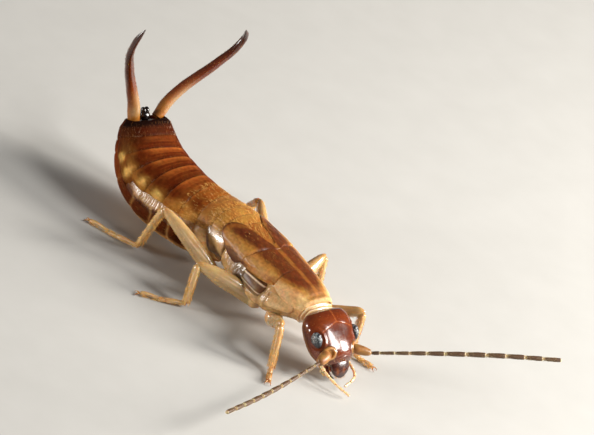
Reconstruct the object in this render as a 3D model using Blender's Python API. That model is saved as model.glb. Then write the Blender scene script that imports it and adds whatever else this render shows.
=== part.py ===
"""Life-size earwig, a nearly grown nymph, standing on six legs with its tail and forceps raised.

Sizes in this file are in millimetres and are turned into metres where a mesh is made.
The head faces -Y, the animal's left is +X and up is +Z. The feet stand on Z = 0.
A place is written (left, back, up): millimetres to the animal's left of its mid-line,
behind the joint between its second and third thorax rings, and above the ground.
"""

import math

import bmesh
import bpy
import numpy as np
from mathutils import Matrix, Vector

MM = 0.001
GAP = 0.03

# The mid-line and the thorax joint stand here, so that the whole box is centred on the origin
MIDLINE_X = 0.205
THORAX_Y = 0.30

# The trunk's axis starts at the front edge of the first thorax plate and runs to the tail end
TRUNK_FRONT = (-2.06, 1.26)
TRUNK_LENGTH = 8.1
SPINE_STEP = 0.02
TILT_PLACES = (0.0, 1.1, 2.1, 3.0, 3.6, 4.3, 5.0, 5.9, 6.5, 7.0, 7.5, 8.1)
TILT_DEGREES = (8, 5, 1, -4, -10.5, -8.5, -2.7, 4.7, 19, 34, 47.5, 58)
BEND_PLACES = (0.0, 3.0, 4.5, 6.0, 7.2, 8.1)
BEND_DEGREES = (0, 0, -10, -2, 7, 2)

# Half width of the trunk, its height above the axis and its depth below the axis
GIRTH_PLACES = (0.0, 0.5, 1.1, 2.1, 3.0, 3.5, 4.0, 4.6, 5.3, 6.0, 6.7, 7.3, 7.7, 8.1)
HALF_WIDTHS = (0.58, 0.70, 0.80, 0.90, 0.89, 0.90, 0.93, 0.97, 1.03, 1.12, 1.09, 0.96, 0.84, 0.70)
HEIGHTS = (0.42, 0.48, 0.50, 0.52, 0.60, 0.70, 0.75, 0.80, 0.85, 0.85, 0.79, 0.68, 0.58, 0.46)
DEPTHS = (0.45, 0.60, 0.67, 0.70, 0.76, 0.84, 0.94, 1.00, 1.02, 0.97, 0.87, 0.72, 0.60, 0.46)
TRUNK_ROUNDNESS = 2.3

# Edges of the body rings along the trunk's axis
THORAX_EDGES = (0.0, 1.13, 2.06, 3.0)
ABDOMEN_EDGES = (3.0, 3.3, 3.66, 4.2, 4.72, 5.23, 5.74, 6.3, 6.93, 7.44, 8.1)

# The head, in its own frame: mouth towards -Y, forehead towards +Z, tipped down at the neck
HEAD_PLACE = (0.0, -2.77, 0.88)
HEAD_NOD_DEGREES = 43.0
HEAD_PLACES = (-0.62, -0.52, -0.38, -0.18, 0.05, 0.30, 0.55, 0.70, 0.79, 0.83)
HEAD_HALF_WIDTHS = (0.34, 0.42, 0.55, 0.66, 0.71, 0.74, 0.71, 0.63, 0.53, 0.42)
HEAD_HEIGHTS = (0.33, 0.39, 0.44, 0.47, 0.48, 0.47, 0.43, 0.36, 0.28, 0.20)
HEAD_DEPTHS = (0.10, 0.20, 0.30, 0.36, 0.38, 0.36, 0.28, 0.18, 0.10, 0.05)
HEAD_ROUNDNESS = 2.35
EYE_PLACE = (0.66, -0.02, 0.21)
EYE_RADII = (0.14, 0.23, 0.19)

# Upper lip: place, half width, height. Jaws: place, outer side, top. Lower lip: place, half width
LIP_RINGS = ((-0.65, 0.31, 0.25), (-0.80, 0.30, 0.22), (-0.95, 0.24, 0.17), (-1.02, 0.14, 0.11))
LIP_DEPTH = 0.02
JAW_RINGS = ((-0.645, 0.33, -0.02), (-0.80, 0.30, -0.03), (-0.95, 0.20, -0.05))
JAW_INNER_SIDE = 0.03
JAW_UNDERSIDE = -0.17
LOWER_LIP_RINGS = ((-0.42, 0.30), (-0.62, 0.27), (-0.80, 0.20))
LOWER_LIP_HEIGHT = -0.44
LOWER_LIP_RISE = 0.32
LOWER_LIP_THICKNESS = (0.10, 0.07)

# The thorax plates stand this far proud of the trunk, and the undersides lie this far inside it
PLATE_OVERHANG = 0.04
UNDERSIDE_INSET = 0.05
EDGE_BOWS = (0.0, -0.10, 0.10, 0.12)
PLATE_HUB = 0.2

# Neck: half width, height and depth of the oval at the head and of the one at the thorax
NECK_AT_HEAD = (0.36, 0.10, 0.06)
NECK_AT_TRUNK = (0.42, 0.20, 0.10)
NECK_RISES = (0.06, 0.12)
NECK_ROUNDNESS = 2.2

# Radii of limbs and feelers, each at least as stout as its real outline
HIP_RADII = (0.22, 0.24)
THIGH_RADII = (0.23, 0.23)
THIGH_MIDDLE_RADIUS = 0.25
SHIN_RADII = (0.22, 0.22)
FOOT_RADII = (0.23, 0.23)
SCAPE_RADII = (0.20, 0.24)
WHIP_RADIUS = 0.25
PALP_RADIUS = 0.14

# How far a limb piece runs on past the bend at its end, and how far a foot starts before its heel
BEND_OVERRUN = 0.10
HEEL_OVERRUN = 0.16

# Each leg: where it starts inside the body, the hip, the knee, the heel and the foot's tip
SOLE_HEIGHT = 0.20
LEGS = {
    "front_right": ((-0.34, -1.20, 0.84), (-0.70, -1.26, 0.58), (-1.34, -2.13, 1.24),
                    (-1.63, -2.57, SOLE_HEIGHT), (-2.16, -3.05, SOLE_HEIGHT)),
    "middle_right": ((-0.40, -0.60, 0.80), (-0.80, -0.30, 0.54), (-1.90, 0.70, 1.26),
                     (-2.13, 0.43, SOLE_HEIGHT), (-3.22, 1.20, SOLE_HEIGHT)),
    "hind_right": ((-0.45, 0.30, 0.78), (-0.95, 0.75, 0.50), (-1.82, 2.47, 1.78),
                   (-1.72, 2.94, SOLE_HEIGHT), (-2.40, 4.34, SOLE_HEIGHT)),
    "front_left": ((0.34, -1.20, 0.84), (0.70, -1.26, 0.58), (1.43, -2.43, 1.30),
                   (1.30, -2.62, SOLE_HEIGHT), (1.36, -3.45, SOLE_HEIGHT)),
    "middle_left": ((0.40, -0.60, 0.80), (0.80, -0.30, 0.54), (2.08, -0.08, 1.34),
                    (1.98, -0.40, SOLE_HEIGHT), (2.75, 0.60, SOLE_HEIGHT)),
    "hind_left": ((0.45, 0.30, 0.78), (0.95, 0.75, 0.50), (1.80, 2.38, 1.45),
                  (2.00, 3.30, SOLE_HEIGHT), (2.55, 4.60, SOLE_HEIGHT)),
}

# Feelers: inside the head, end of the stout first joint, two places on the whip, tip
ANTENNAE = {
    "right": ((-0.30, -3.12, 0.91), (-0.88, -3.40, 0.80), (-2.20, -3.72, 0.74),
              (-3.90, -4.20, 0.88), (-5.45, -4.62, 1.10)),
    "left": ((0.30, -3.10, 0.93), (0.84, -3.58, 0.91), (2.15, -4.46, 1.27),
             (3.60, -5.47, 1.64), (5.00, -6.42, 1.90)),
}
PALPS = {
    "right": ((-0.40, -2.98, 0.52), (-0.44, -3.34, 0.40), (-0.36, -3.74, 0.28), (-0.17, -4.20, 0.16)),
    "left": ((0.40, -2.98, 0.52), (0.42, -3.40, 0.50), (0.32, -3.84, 0.50), (0.14, -4.06, 0.40)),
}

# The forceps blades from the tail end: millimetres to the left, on beyond the end, up the back
BLADES = {
    "right": ((-0.46, 0.03, 0.03), (-0.62, 0.38, 0.16), (-0.85, 0.75, 0.34), (-1.51, 1.49, 1.00),
              (-1.92, 2.00, 1.57), (-1.98, 2.28, 1.87), (-1.88, 2.62, 2.22)),
    "left": ((0.52, 0.03, 0.03), (0.72, 0.28, 0.10), (1.01, 0.54, 0.22), (1.95, 1.32, 0.83),
             (2.38, 1.64, 1.15), (2.46, 1.88, 1.42), (2.28, 2.21, 1.81)),
}
BLADE_RADII = (0.24, 0.22, 0.16)
BLADE_RADIUS_PLACES = (0.0, 0.6, 1.0)
BLADE_STATIONS = 12

# The plate between the forceps: place beyond the tail end, half width, half height
KNOB_RINGS = ((0.03, 0.15, 0.14), (0.20, 0.16, 0.13), (0.33, 0.08, 0.07))
KNOB_ROUNDNESS = 2.6


def material(name, colour, roughness):
    """A shiny or dull horn-like surface of one colour."""
    made = bpy.data.materials.new(name)
    made.use_nodes = True
    shader = made.node_tree.nodes["Principled BSDF"]
    shader.inputs["Base Color"].default_value = (*colour, 1.0)
    shader.inputs["Roughness"].default_value = roughness
    shader.inputs["Metallic"].default_value = 0.0
    return made


def row_place(place):
    """A (left, back, up) place in millimetres as a point in metres."""
    left, back, up = place
    return Vector((left + MIDLINE_X, back + THORAX_Y, up)) * MM


def smooth_value(places, values, at):
    """A smooth curve through a row of stations."""
    places = np.array(places, float)
    values = np.array(values, float)
    slopes = np.gradient(values, places)
    at = np.clip(at, places[0], places[-1])
    i = np.clip(np.searchsorted(places, at, side="right") - 1, 0, len(places) - 2)
    width = places[i + 1] - places[i]
    t = (at - places[i]) / width
    return (
        (1 + 2 * t) * (1 - t) ** 2 * values[i]
        + t * (1 - t) ** 2 * width * slopes[i]
        + t * t * (3 - 2 * t) * values[i + 1]
        + t * t * (t - 1) * width * slopes[i + 1]
    )


def spine_table():
    """The trunk's axis, added up from its tilt and sideways bend: places, points, tilts, bends."""
    places = np.arange(round(TRUNK_LENGTH / SPINE_STEP) + 1) * SPINE_STEP
    tilt = np.radians(smooth_value(TILT_PLACES, TILT_DEGREES, places))
    bend = np.radians(smooth_value(BEND_PLACES, BEND_DEGREES, places))
    steps = np.stack([np.sin(bend), np.cos(bend) * np.cos(tilt), np.cos(bend) * np.sin(tilt)], axis=1)
    points = np.concatenate([np.zeros((1, 3)), np.cumsum(steps[:-1] * SPINE_STEP, axis=0)])
    points += (0.0, *TRUNK_FRONT)
    return places, points, tilt, bend


SPINE = spine_table()


def trunk_point(along, side, height):
    """A point of the trunk: along its axis, to its left, and above the axis."""
    places, points, tilts, bends = SPINE
    reach = min(max(along, 0.0), TRUNK_LENGTH)
    tilt = float(np.interp(reach, places, tilts))
    bend = float(np.interp(reach, places, bends))
    centre = np.array([np.interp(reach, places, points[:, k]) for k in range(3)])
    ahead = np.array((math.sin(bend), math.cos(bend) * math.cos(tilt), math.cos(bend) * math.sin(tilt)))
    left = np.array((math.cos(bend), -math.sin(bend) * math.cos(tilt), -math.sin(bend) * math.sin(tilt)))
    above = np.array((0.0, -math.sin(tilt), math.cos(tilt)))
    return tuple(centre + ahead * (along - reach) + left * side + above * height)


def girth(along):
    """Half width, height and depth of the trunk at a place on its axis."""
    return [
        float(smooth_value(GIRTH_PLACES, values, along))
        for values in (HALF_WIDTHS, HEIGHTS, DEPTHS)
    ]


def oval(angle, half_width, height, depth, roundness):
    """A point of a rounded cross-section with its own height and depth."""
    c = math.cos(angle)
    s = math.sin(angle)
    side = math.copysign(abs(c) ** (2 / roundness), c) * half_width
    rise = math.copysign(abs(s) ** (2 / roundness), s)
    return side, rise * (height if rise > 0 else depth)


def angles(count, start=0.0, turn=2 * math.pi, closed=True):
    """Evenly spaced angles, with the last one left out on a closed ring."""
    steps = count if closed else count - 1
    return [start + turn * i / steps for i in range(count)]


def mesh_object(name, bm, slot):
    """A new smooth object from an edit mesh, in the part's collection."""
    bmesh.ops.recalc_face_normals(bm, faces=bm.faces)
    mesh = bpy.data.meshes.new(name)
    bm.to_mesh(mesh)
    bm.free()
    mesh.shade_smooth()
    mesh.set_sharp_from_angle(angle=math.radians(50))
    mesh.materials.append(MATERIALS[slot])
    made = bpy.data.objects.new(name, mesh)
    PART.objects.link(made)
    return made


def loft(name, rings, slot, centres=None):
    """A closed body through rings of equal point counts; centres are the points its ends fan from."""
    bm = bmesh.new()
    rows = [[bm.verts.new(point) for point in ring] for ring in rings]
    count = len(rows[0])
    for near, far in zip(rows, rows[1:]):
        for i in range(count):
            j = (i + 1) % count
            bm.faces.new((near[i], near[j], far[j], far[i]))
    for row, centre in zip((rows[0], rows[-1]), centres or (None, None)):
        if centre is None:
            bm.faces.new(row)
            continue
        hub = bm.verts.new(centre)
        for i in range(count):
            bm.faces.new((row[i], row[(i + 1) % count], hub))
    return mesh_object(name, bm, slot)


def trunk_ring(along, grow=0.0, bow=0.0, half=None, count=24):
    """A ring of the trunk in metres, whole or its upper or lower half; bow moves its sides back."""
    half_width, height, depth = girth(along)
    sizes = (half_width + grow, height + grow, depth + grow, TRUNK_ROUNDNESS)
    if half is None:
        places = [oval(angle, *sizes) for angle in angles(count)]
    else:
        start = 0.0 if half == "upper" else math.pi
        lift = GAP / 2 if half == "upper" else -GAP / 2
        arc = [oval(angle, *sizes) for angle in angles(count, start, math.pi, closed=False)]
        flat = [(arc[-1][0] * share, 0.0) for share in (0.5, 0.0, -0.5)]
        places = [(side, rise + lift) for side, rise in arc + flat]
    ring = []
    for side, rise in places:
        shift = bow * (side / half_width) ** 2
        ring.append(row_place(trunk_point(along + shift, side, rise)))
    return ring


def ring_centre(along, rise=0.0):
    """The point of the trunk's middle plane that a ring's end face fans from, in metres."""
    return row_place(trunk_point(along, 0.0, rise))


def edge_bow(along):
    """How far the sides of a thorax edge lie behind its middle."""
    return float(np.interp(along, THORAX_EDGES, EDGE_BOWS))


def build_abdomen():
    """Ten rings, each a little wider at its rear edge than where it leaves the ring before it."""
    for number, (front, rear) in enumerate(zip(ABDOMEN_EDGES, ABDOMEN_EDGES[1:]), start=1):
        bow_front = edge_bow(front) if number == 1 else 0.0
        low = front + GAP / 2
        high = rear - GAP / 2
        rings = [
            trunk_ring(low, grow=-0.02, bow=bow_front),
            trunk_ring((low + high) / 2, grow=0.0, bow=bow_front / 2),
            trunk_ring(high, grow=0.01),
        ]
        slot = "tail_plate" if number > 8 else "abdomen"
        loft(f"abdomen_{number:02d}", rings, slot, (ring_centre(low), ring_centre(high)))


def build_thorax():
    """Three rings, each parted at the trunk's axis into a back plate and an underside."""
    names = ("pronotum", "mesonotum", "metanotum")
    undersides = ("prothorax_underside", "mesothorax_underside", "metathorax_underside")
    for i, (plate, underside) in enumerate(zip(names, undersides)):
        front = THORAX_EDGES[i] + GAP / 2
        rear = THORAX_EDGES[i + 1] - GAP / 2
        steps = [front + (rear - front) * k / 3 for k in range(4)]
        for name, half, grow, slot in ((plate, "upper", PLATE_OVERHANG, "back_plate"),
                                       (underside, "lower", -UNDERSIDE_INSET, "pale_skin")):
            rings = [trunk_ring(s, grow, edge_bow(s), half, count=13) for s in steps]
            rise = PLATE_HUB if half == "upper" else -PLATE_HUB
            loft(name, rings, slot, (ring_centre(front, rise), ring_centre(rear, rise)))


def head_matrix():
    """The head's own frame, tipped down at the neck."""
    turn = Matrix.Rotation(math.radians(HEAD_NOD_DEGREES), 4, "X")
    return Matrix.Translation(row_place(HEAD_PLACE)) @ turn


def head_place(place):
    """A point of the head's own frame, in millimetres, as a point in metres in the part."""
    return head_matrix() @ (Vector(place) * MM)


def head_ring(place, half_width, height, depth, count=28):
    """One cross-section of the head, in metres in its own frame."""
    ring = []
    for angle in angles(count):
        side, rise = oval(angle, half_width, height, depth, HEAD_ROUNDNESS)
        ring.append(Vector((side, place, rise)) * MM)
    return ring


def cut(target, cutter):
    """Takes the cutter's shape out of the target."""
    tool = target.modifiers.new("cut", "BOOLEAN")
    tool.operation = "DIFFERENCE"
    tool.object = cutter
    if cutter.name in PART.objects:
        cutter.hide_render = True
        cutter.display_type = "WIRE"
        PART.objects.unlink(cutter)
        CUTTERS.objects.link(cutter)


def trunk_cutter():
    """The thorax and the front of the abdomen, a gap larger all round, to trim the hips with."""
    last = ABDOMEN_EDGES[4]
    steps = 10
    places = [-GAP] + [last * k / steps for k in range(1, steps + 1)]
    rings = [trunk_ring(place, GAP - UNDERSIDE_INSET) for place in places]
    return loft("trunk_cutter", rings, "pale_skin")


def head_cutter():
    """The head capsule, a gap larger all round, to trim the feelers with."""
    places = (HEAD_PLACES[0] - GAP, *HEAD_PLACES[1:-1], HEAD_PLACES[-1] + GAP)
    sizes = zip(places, HEAD_HALF_WIDTHS, HEAD_HEIGHTS, HEAD_DEPTHS)
    rings = [head_ring(place, *(size + GAP for size in girths)) for place, *girths in sizes]
    made = loft("head_cutter", rings, "head_shell")
    made.matrix_world = head_matrix()
    return made


def egg(name, place, radii, matrix, slot, rings=10, segments=16):
    """An egg-shaped body in the frame given by matrix, sizes in millimetres."""
    bm = bmesh.new()
    bmesh.ops.create_uvsphere(bm, u_segments=segments, v_segments=rings, radius=1.0)
    shape = Matrix.Translation(Vector(place)) @ Matrix.Diagonal((*radii, 1.0))
    bmesh.ops.transform(bm, matrix=Matrix.Scale(MM, 4) @ shape, verts=bm.verts)
    made = mesh_object(name, bm, slot)
    made.matrix_world = matrix
    return made


def build_head():
    """The head capsule with its two eyes let into it, and the upper lip below the forehead."""
    sizes = zip(HEAD_PLACES, HEAD_HALF_WIDTHS, HEAD_HEIGHTS, HEAD_DEPTHS)
    head = loft("head", [head_ring(*size) for size in sizes], "head_shell")
    head.matrix_world = head_matrix()
    for side, sign in (("left", 1), ("right", -1)):
        place = (sign * EYE_PLACE[0], EYE_PLACE[1], EYE_PLACE[2])
        egg(f"eye_{side}", place, EYE_RADII, head_matrix(), "eye")
        socket = egg(f"socket_{side}", place, [r + GAP for r in EYE_RADII], head_matrix(), "eye")
        cut(head, socket)
    lip_rings = [head_ring(*size, LIP_DEPTH, count=16) for size in LIP_RINGS]
    lip = loft("upper_lip", lip_rings, "head_shell")
    lip.matrix_world = head_matrix()


def build_mouthparts():
    """Two jaws behind the upper lip and the lower lip behind them."""
    for side, sign in (("left", 1), ("right", -1)):
        rings = []
        for place, outer, top in JAW_RINGS:
            sides = (JAW_INNER_SIDE, outer, outer, JAW_INNER_SIDE)
            heights = (JAW_UNDERSIDE, JAW_UNDERSIDE, top, top)
            rings.append([Vector((sign * x, place, z)) * MM for x, z in zip(sides, heights)])
        jaw = loft(f"jaw_{side}", rings, "dark_horn")
        jaw.matrix_world = head_matrix()
    rings = []
    for place, half_width in LOWER_LIP_RINGS:
        height = LOWER_LIP_HEIGHT + LOWER_LIP_RISE * (LOWER_LIP_RINGS[0][0] - place)
        section = [oval(angle, half_width, *LOWER_LIP_THICKNESS, 2.0) for angle in angles(14)]
        rings.append([Vector((side, place, rise + height)) * MM for side, rise in section])
    lower_lip = loft("lower_lip", rings, "pale_skin")
    lower_lip.matrix_world = head_matrix()


def build_neck():
    """The soft neck, a wedge between the back of the head and the first thorax ring."""
    head_end = HEAD_PLACES[-1] + GAP
    head_side = [oval(angle, *NECK_AT_HEAD, NECK_ROUNDNESS) for angle in angles(18)]
    trunk_side = [oval(angle, *NECK_AT_TRUNK, NECK_ROUNDNESS) for angle in angles(18)]
    rings = (
        [head_place((side, head_end, rise + NECK_RISES[0])) for side, rise in head_side],
        [row_place(trunk_point(-GAP, side, rise + NECK_RISES[1])) for side, rise in trunk_side],
    )
    loft("neck", rings, "pale_skin")


def tube(name, points, radii, slot, sole=False):
    """A round tapered tube with filled ends; a sole is its underside made flat on the ground."""
    curve = bpy.data.curves.new(name, "CURVE")
    curve.dimensions = "3D"
    curve.bevel_depth = MM
    curve.bevel_resolution = 3
    curve.use_fill_caps = True
    spline = curve.splines.new("POLY")
    spline.points.add(len(points) - 1)
    for spot, point, radius in zip(spline.points, points, radii):
        spot.co = (*point, 1.0)
        spot.radius = radius
    guide = bpy.data.objects.new(name + "_line", curve)
    PART.objects.link(guide)
    graph = bpy.context.evaluated_depsgraph_get()
    mesh = bpy.data.meshes.new_from_object(guide.evaluated_get(graph))
    bpy.data.objects.remove(guide)
    bpy.data.curves.remove(curve)
    bm = bmesh.new()
    bm.from_mesh(mesh)
    bpy.data.meshes.remove(mesh)
    bmesh.ops.remove_doubles(bm, verts=bm.verts, dist=1e-8)
    if sole:
        for vert in bm.verts:
            vert.co.z = max(vert.co.z, 0.0)
    return mesh_object(name, bm, slot)


def rounded_run(start, end, start_radius, end_radius, middle=None):
    """Points and radii of a straight limb piece with rounded ends, all in millimetres."""
    axis = (end - start).normalized()
    length = (end - start).length
    rounding = ((0.0, 0.45), (0.10, 0.75), (0.45, 1.0))
    stations = [(reach * start_radius, share * start_radius) for reach, share in rounding]
    if middle:
        stations.append((0.5 * length, middle))
    stations += [(length - reach * end_radius, share * end_radius) for reach, share in reversed(rounding)]
    points = [row_place(start + axis * reach) for reach, radius in stations]
    return points, [radius for reach, radius in stations]


def limb(name, start, end, radii, middle=None, grow=0.0, sole=False):
    """A straight limb piece with rounded ends; grow makes the same piece larger all round."""
    stout = middle + grow if middle else None
    points, sizes = rounded_run(start, end, radii[0] + grow, radii[1] + grow, stout)
    return tube(name, points, sizes, "limb", sole)


def build_leg(name, marks, trunk):
    """Hip, femur, tibia and foot of one leg, each piece trimmed to meet its neighbour."""
    root, hip, knee, heel, toe = [Vector(mark) for mark in marks]
    hip_run = (root, hip + (hip - root).normalized() * BEND_OVERRUN, HIP_RADII)
    thigh_run = (hip, knee + (knee - hip).normalized() * BEND_OVERRUN, THIGH_RADII, THIGH_MIDDLE_RADIUS)
    shin_run = (knee, heel + Vector((0, 0, BEND_OVERRUN)), SHIN_RADII)
    foot_run = (heel - (toe - heel).normalized() * HEEL_OVERRUN, toe, FOOT_RADII)
    cut(limb(f"leg_{name}_hip", *hip_run), trunk)
    cut(limb(f"leg_{name}_femur", *thigh_run), limb(f"{name}_hip_cutter", *hip_run, grow=GAP))
    tibia = limb(f"leg_{name}_tibia", *shin_run)
    cut(tibia, limb(f"{name}_femur_cutter", *thigh_run, grow=GAP))
    cut(tibia, limb(f"{name}_foot_cutter", *foot_run, grow=GAP))
    limb(f"leg_{name}_foot", *foot_run, sole=True)


def through(points, count):
    """Evenly spread places on a smooth line through a few marks."""
    marks = np.array(points, float)
    lengths = np.concatenate([[0], np.cumsum(np.linalg.norm(np.diff(marks, axis=0), axis=1))])
    reach = np.linspace(0, lengths[-1], count)
    return np.stack([smooth_value(lengths, marks[:, k], reach) for k in range(3)], axis=1)


def whip(name, marks, radius, count):
    """A gently bent tube with rounded ends through a few marks, in millimetres."""
    points = [row_place(place) for place in through(marks, count)]
    end_radius = 0.6 * radius
    return tube(name, points, [end_radius] + [radius] * (count - 2) + [end_radius], "feeler")


def build_feelers():
    """Two antennae, each a stout first joint and a long whip, and two palps at the mouth."""
    trimmer = head_cutter()
    for side, marks in ANTENNAE.items():
        socket, elbow, *rest = [Vector(mark) for mark in marks]
        axis = (elbow - socket).normalized()
        cut(limb(f"antenna_{side}_root", socket, elbow - axis * GAP / 2, SCAPE_RADII), trimmer)
        whip_start = elbow + (rest[0] - elbow).normalized() * GAP
        whip(f"antenna_{side}_whip", [whip_start, *rest], WHIP_RADIUS, count=9)
    for side, marks in PALPS.items():
        cut(whip(f"palp_{side}", marks, PALP_RADIUS, count=6), trimmer)


def build_forceps():
    """The two curved forceps blades and the small dark plate between their roots."""
    root = TRUNK_LENGTH + 2 * GAP
    for side, blade in BLADES.items():
        marks = [trunk_point(root + beyond, out, rise) for out, beyond, rise in blade]
        line = [row_place(place) for place in through(marks, BLADE_STATIONS)]
        radii = np.interp(np.linspace(0, 1, BLADE_STATIONS), BLADE_RADIUS_PLACES, BLADE_RADII)
        radii[-1] *= 0.6
        tube(f"forceps_{side}", line, radii, "horn")
    rings = []
    for beyond, half_width, half_height in KNOB_RINGS:
        sizes = (half_width, half_height, half_height, KNOB_ROUNDNESS)
        section = [oval(angle, *sizes) for angle in angles(14)]
        rings.append([row_place(trunk_point(TRUNK_LENGTH + beyond, side, rise)) for side, rise in section])
    loft("tail_knob", rings, "dark_horn")


for old in list(bpy.data.objects):
    bpy.data.objects.remove(old)

PART = bpy.data.collections.new("earwig")
CUTTERS = bpy.data.collections.new("earwig_cutters")
bpy.context.scene.collection.children.link(PART)
bpy.context.scene.collection.children.link(CUTTERS)

MATERIALS = {
    "head_shell": material("head_shell", (0.16, 0.035, 0.012), 0.22),
    "eye": material("eye", (0.05, 0.06, 0.08), 0.2),
    "back_plate": material("back_plate", (0.22, 0.10, 0.03), 0.3),
    "abdomen": material("abdomen", (0.12, 0.028, 0.010), 0.3),
    "tail_plate": material("tail_plate", (0.035, 0.010, 0.006), 0.25),
    "pale_skin": material("pale_skin", (0.45, 0.25, 0.10), 0.45),
    "limb": material("limb", (0.52, 0.31, 0.13), 0.35),
    "feeler": material("feeler", (0.28, 0.20, 0.13), 0.45),
    "horn": material("horn", (0.20, 0.07, 0.02), 0.25),
    "dark_horn": material("dark_horn", (0.03, 0.012, 0.008), 0.2),
}

build_abdomen()
build_thorax()
build_neck()
build_head()
build_mouthparts()
trunk_trimmer = trunk_cutter()
for leg_name, leg_marks in LEGS.items():
    build_leg(leg_name, leg_marks, trunk_trimmer)
build_feelers()
build_forceps()
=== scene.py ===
"""Looks of a life-size earwig nymph on a pale floor, with its tail and forceps raised.

Sizes are in millimetres until a mesh is made. A place is (left, back, up): to the animal's left
of its mid-line, behind the joint of its second and third thorax rings, and above the floor.
Round the trunk, a turn is an angle in degrees: 0 at the left side, 90 on the back, 180 at the
right side and 270 under the belly.
"""

import math

import bmesh
import bpy
import numpy as np
from mathutils import Matrix, Vector


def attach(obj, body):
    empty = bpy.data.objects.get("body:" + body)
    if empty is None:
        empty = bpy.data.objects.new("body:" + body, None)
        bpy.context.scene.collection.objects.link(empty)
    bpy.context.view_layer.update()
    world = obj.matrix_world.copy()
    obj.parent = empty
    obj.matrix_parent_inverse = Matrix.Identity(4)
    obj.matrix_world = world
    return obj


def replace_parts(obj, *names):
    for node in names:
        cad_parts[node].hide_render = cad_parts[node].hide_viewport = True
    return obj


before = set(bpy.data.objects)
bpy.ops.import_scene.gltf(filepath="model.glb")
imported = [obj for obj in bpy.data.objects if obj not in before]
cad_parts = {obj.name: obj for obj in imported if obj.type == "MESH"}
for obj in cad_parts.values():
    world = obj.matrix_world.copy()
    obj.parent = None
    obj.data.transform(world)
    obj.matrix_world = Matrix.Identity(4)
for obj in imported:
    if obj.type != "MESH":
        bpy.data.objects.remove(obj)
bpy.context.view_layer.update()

MM = 0.001
MIDLINE_X = 0.205
THORAX_Y = 0.30

# The trunk's axis and girth, the same driving sizes as the solids have
TRUNK_FRONT = (-2.06, 1.26)
TRUNK_LENGTH = 8.1
SPINE_STEP = 0.02
TILT_PLACES = (0.0, 1.1, 2.1, 3.0, 3.6, 4.3, 5.0, 5.9, 6.5, 7.0, 7.5, 8.1)
TILT_DEGREES = (8, 5, 1, -4, -10.5, -8.5, -2.7, 4.7, 19, 34, 47.5, 58)
BEND_PLACES = (0.0, 3.0, 4.5, 6.0, 7.2, 8.1)
BEND_DEGREES = (0, 0, -10, -2, 7, 2)
GIRTH_PLACES = (0.0, 0.5, 1.1, 2.1, 3.0, 3.5, 4.0, 4.6, 5.3, 6.0, 6.7, 7.3, 7.7, 8.1)
HALF_WIDTHS = (0.58, 0.70, 0.80, 0.90, 0.89, 0.90, 0.93, 0.97, 1.03, 1.12, 1.09, 0.96, 0.84, 0.70)
HEIGHTS = (0.42, 0.48, 0.50, 0.52, 0.60, 0.70, 0.75, 0.80, 0.85, 0.85, 0.79, 0.68, 0.58, 0.46)
DEPTHS = (0.45, 0.60, 0.67, 0.70, 0.76, 0.84, 0.94, 1.00, 1.02, 0.97, 0.87, 0.72, 0.60, 0.46)
TRUNK_ROUNDNESS = 2.3
ABDOMEN_EDGES = (3.0, 3.3, 3.66, 4.2, 4.76, 5.30, 5.86, 6.46, 7.04, 7.56, 8.1)

# The head's own frame: mouth towards -Y, forehead towards +Z, tipped down at the neck
HEAD_PLACE = (0.05, -2.77, 0.88)
HEAD_NOD_DEGREES = 43.0
HEAD_PLACES = (-0.62, -0.52, -0.38, -0.18, 0.05, 0.30, 0.55, 0.70, 0.79, 0.83)
HEAD_HALF_WIDTHS = (0.43, 0.52, 0.63, 0.725, 0.77, 0.79, 0.765, 0.67, 0.55, 0.42)
HEAD_HEIGHTS = (0.27, 0.385, 0.455, 0.485, 0.48, 0.45, 0.40, 0.33, 0.26, 0.19)
HEAD_DEPTHS = (0.10, 0.20, 0.30, 0.36, 0.38, 0.36, 0.28, 0.18, 0.10, 0.05)
HEAD_ROUNDNESS = 2.35
EYE_PLACE = (0.68, 0.08, 0.25)
EYE_RADII = (0.125, 0.215, 0.175)
SOCKET_PLACE = (0.44, -0.33, 0.30)

# Each leg: root in the body, hip, knee, heel and claws
LEGS = {
    "front_right": ((-0.42, -1.16, 0.84), (-0.66, -1.30, 0.60), (-1.34, -2.13, 1.24),
                    (-1.57, -2.52, 0.16), (-1.97, -2.90, 0.06)),
    "middle_right": ((-0.40, -0.50, 0.84), (-0.72, -0.38, 0.74), (-1.90, 0.70, 1.26),
                     (-2.07, 0.48, 0.16), (-3.03, 1.35, 0.06)),
    "hind_right": ((-0.45, 0.30, 0.78), (-0.93, 0.72, 0.60), (-1.82, 2.47, 1.78),
                   (-1.66, 2.99, 0.16), (-2.21, 4.49, 0.06)),
    "front_left": ((0.42, -1.16, 0.84), (0.70, -1.26, 0.58), (1.43, -2.43, 1.30),
                   (1.36, -2.57, 0.16), (1.55, -3.30, 0.06)),
    "middle_left": ((0.40, -0.60, 0.76), (0.80, -0.30, 0.54), (2.08, -0.08, 1.34),
                    (2.04, -0.35, 0.16), (2.94, 0.75, 0.06)),
    "hind_left": ((0.45, 0.30, 0.76), (0.95, 0.75, 0.50), (1.80, 2.38, 1.45),
                  (2.06, 3.35, 0.16), (2.74, 4.75, 0.06)),
}
THIGH_RADII = {"front": 0.18, "middle": 0.245, "hind": 0.22}

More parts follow.
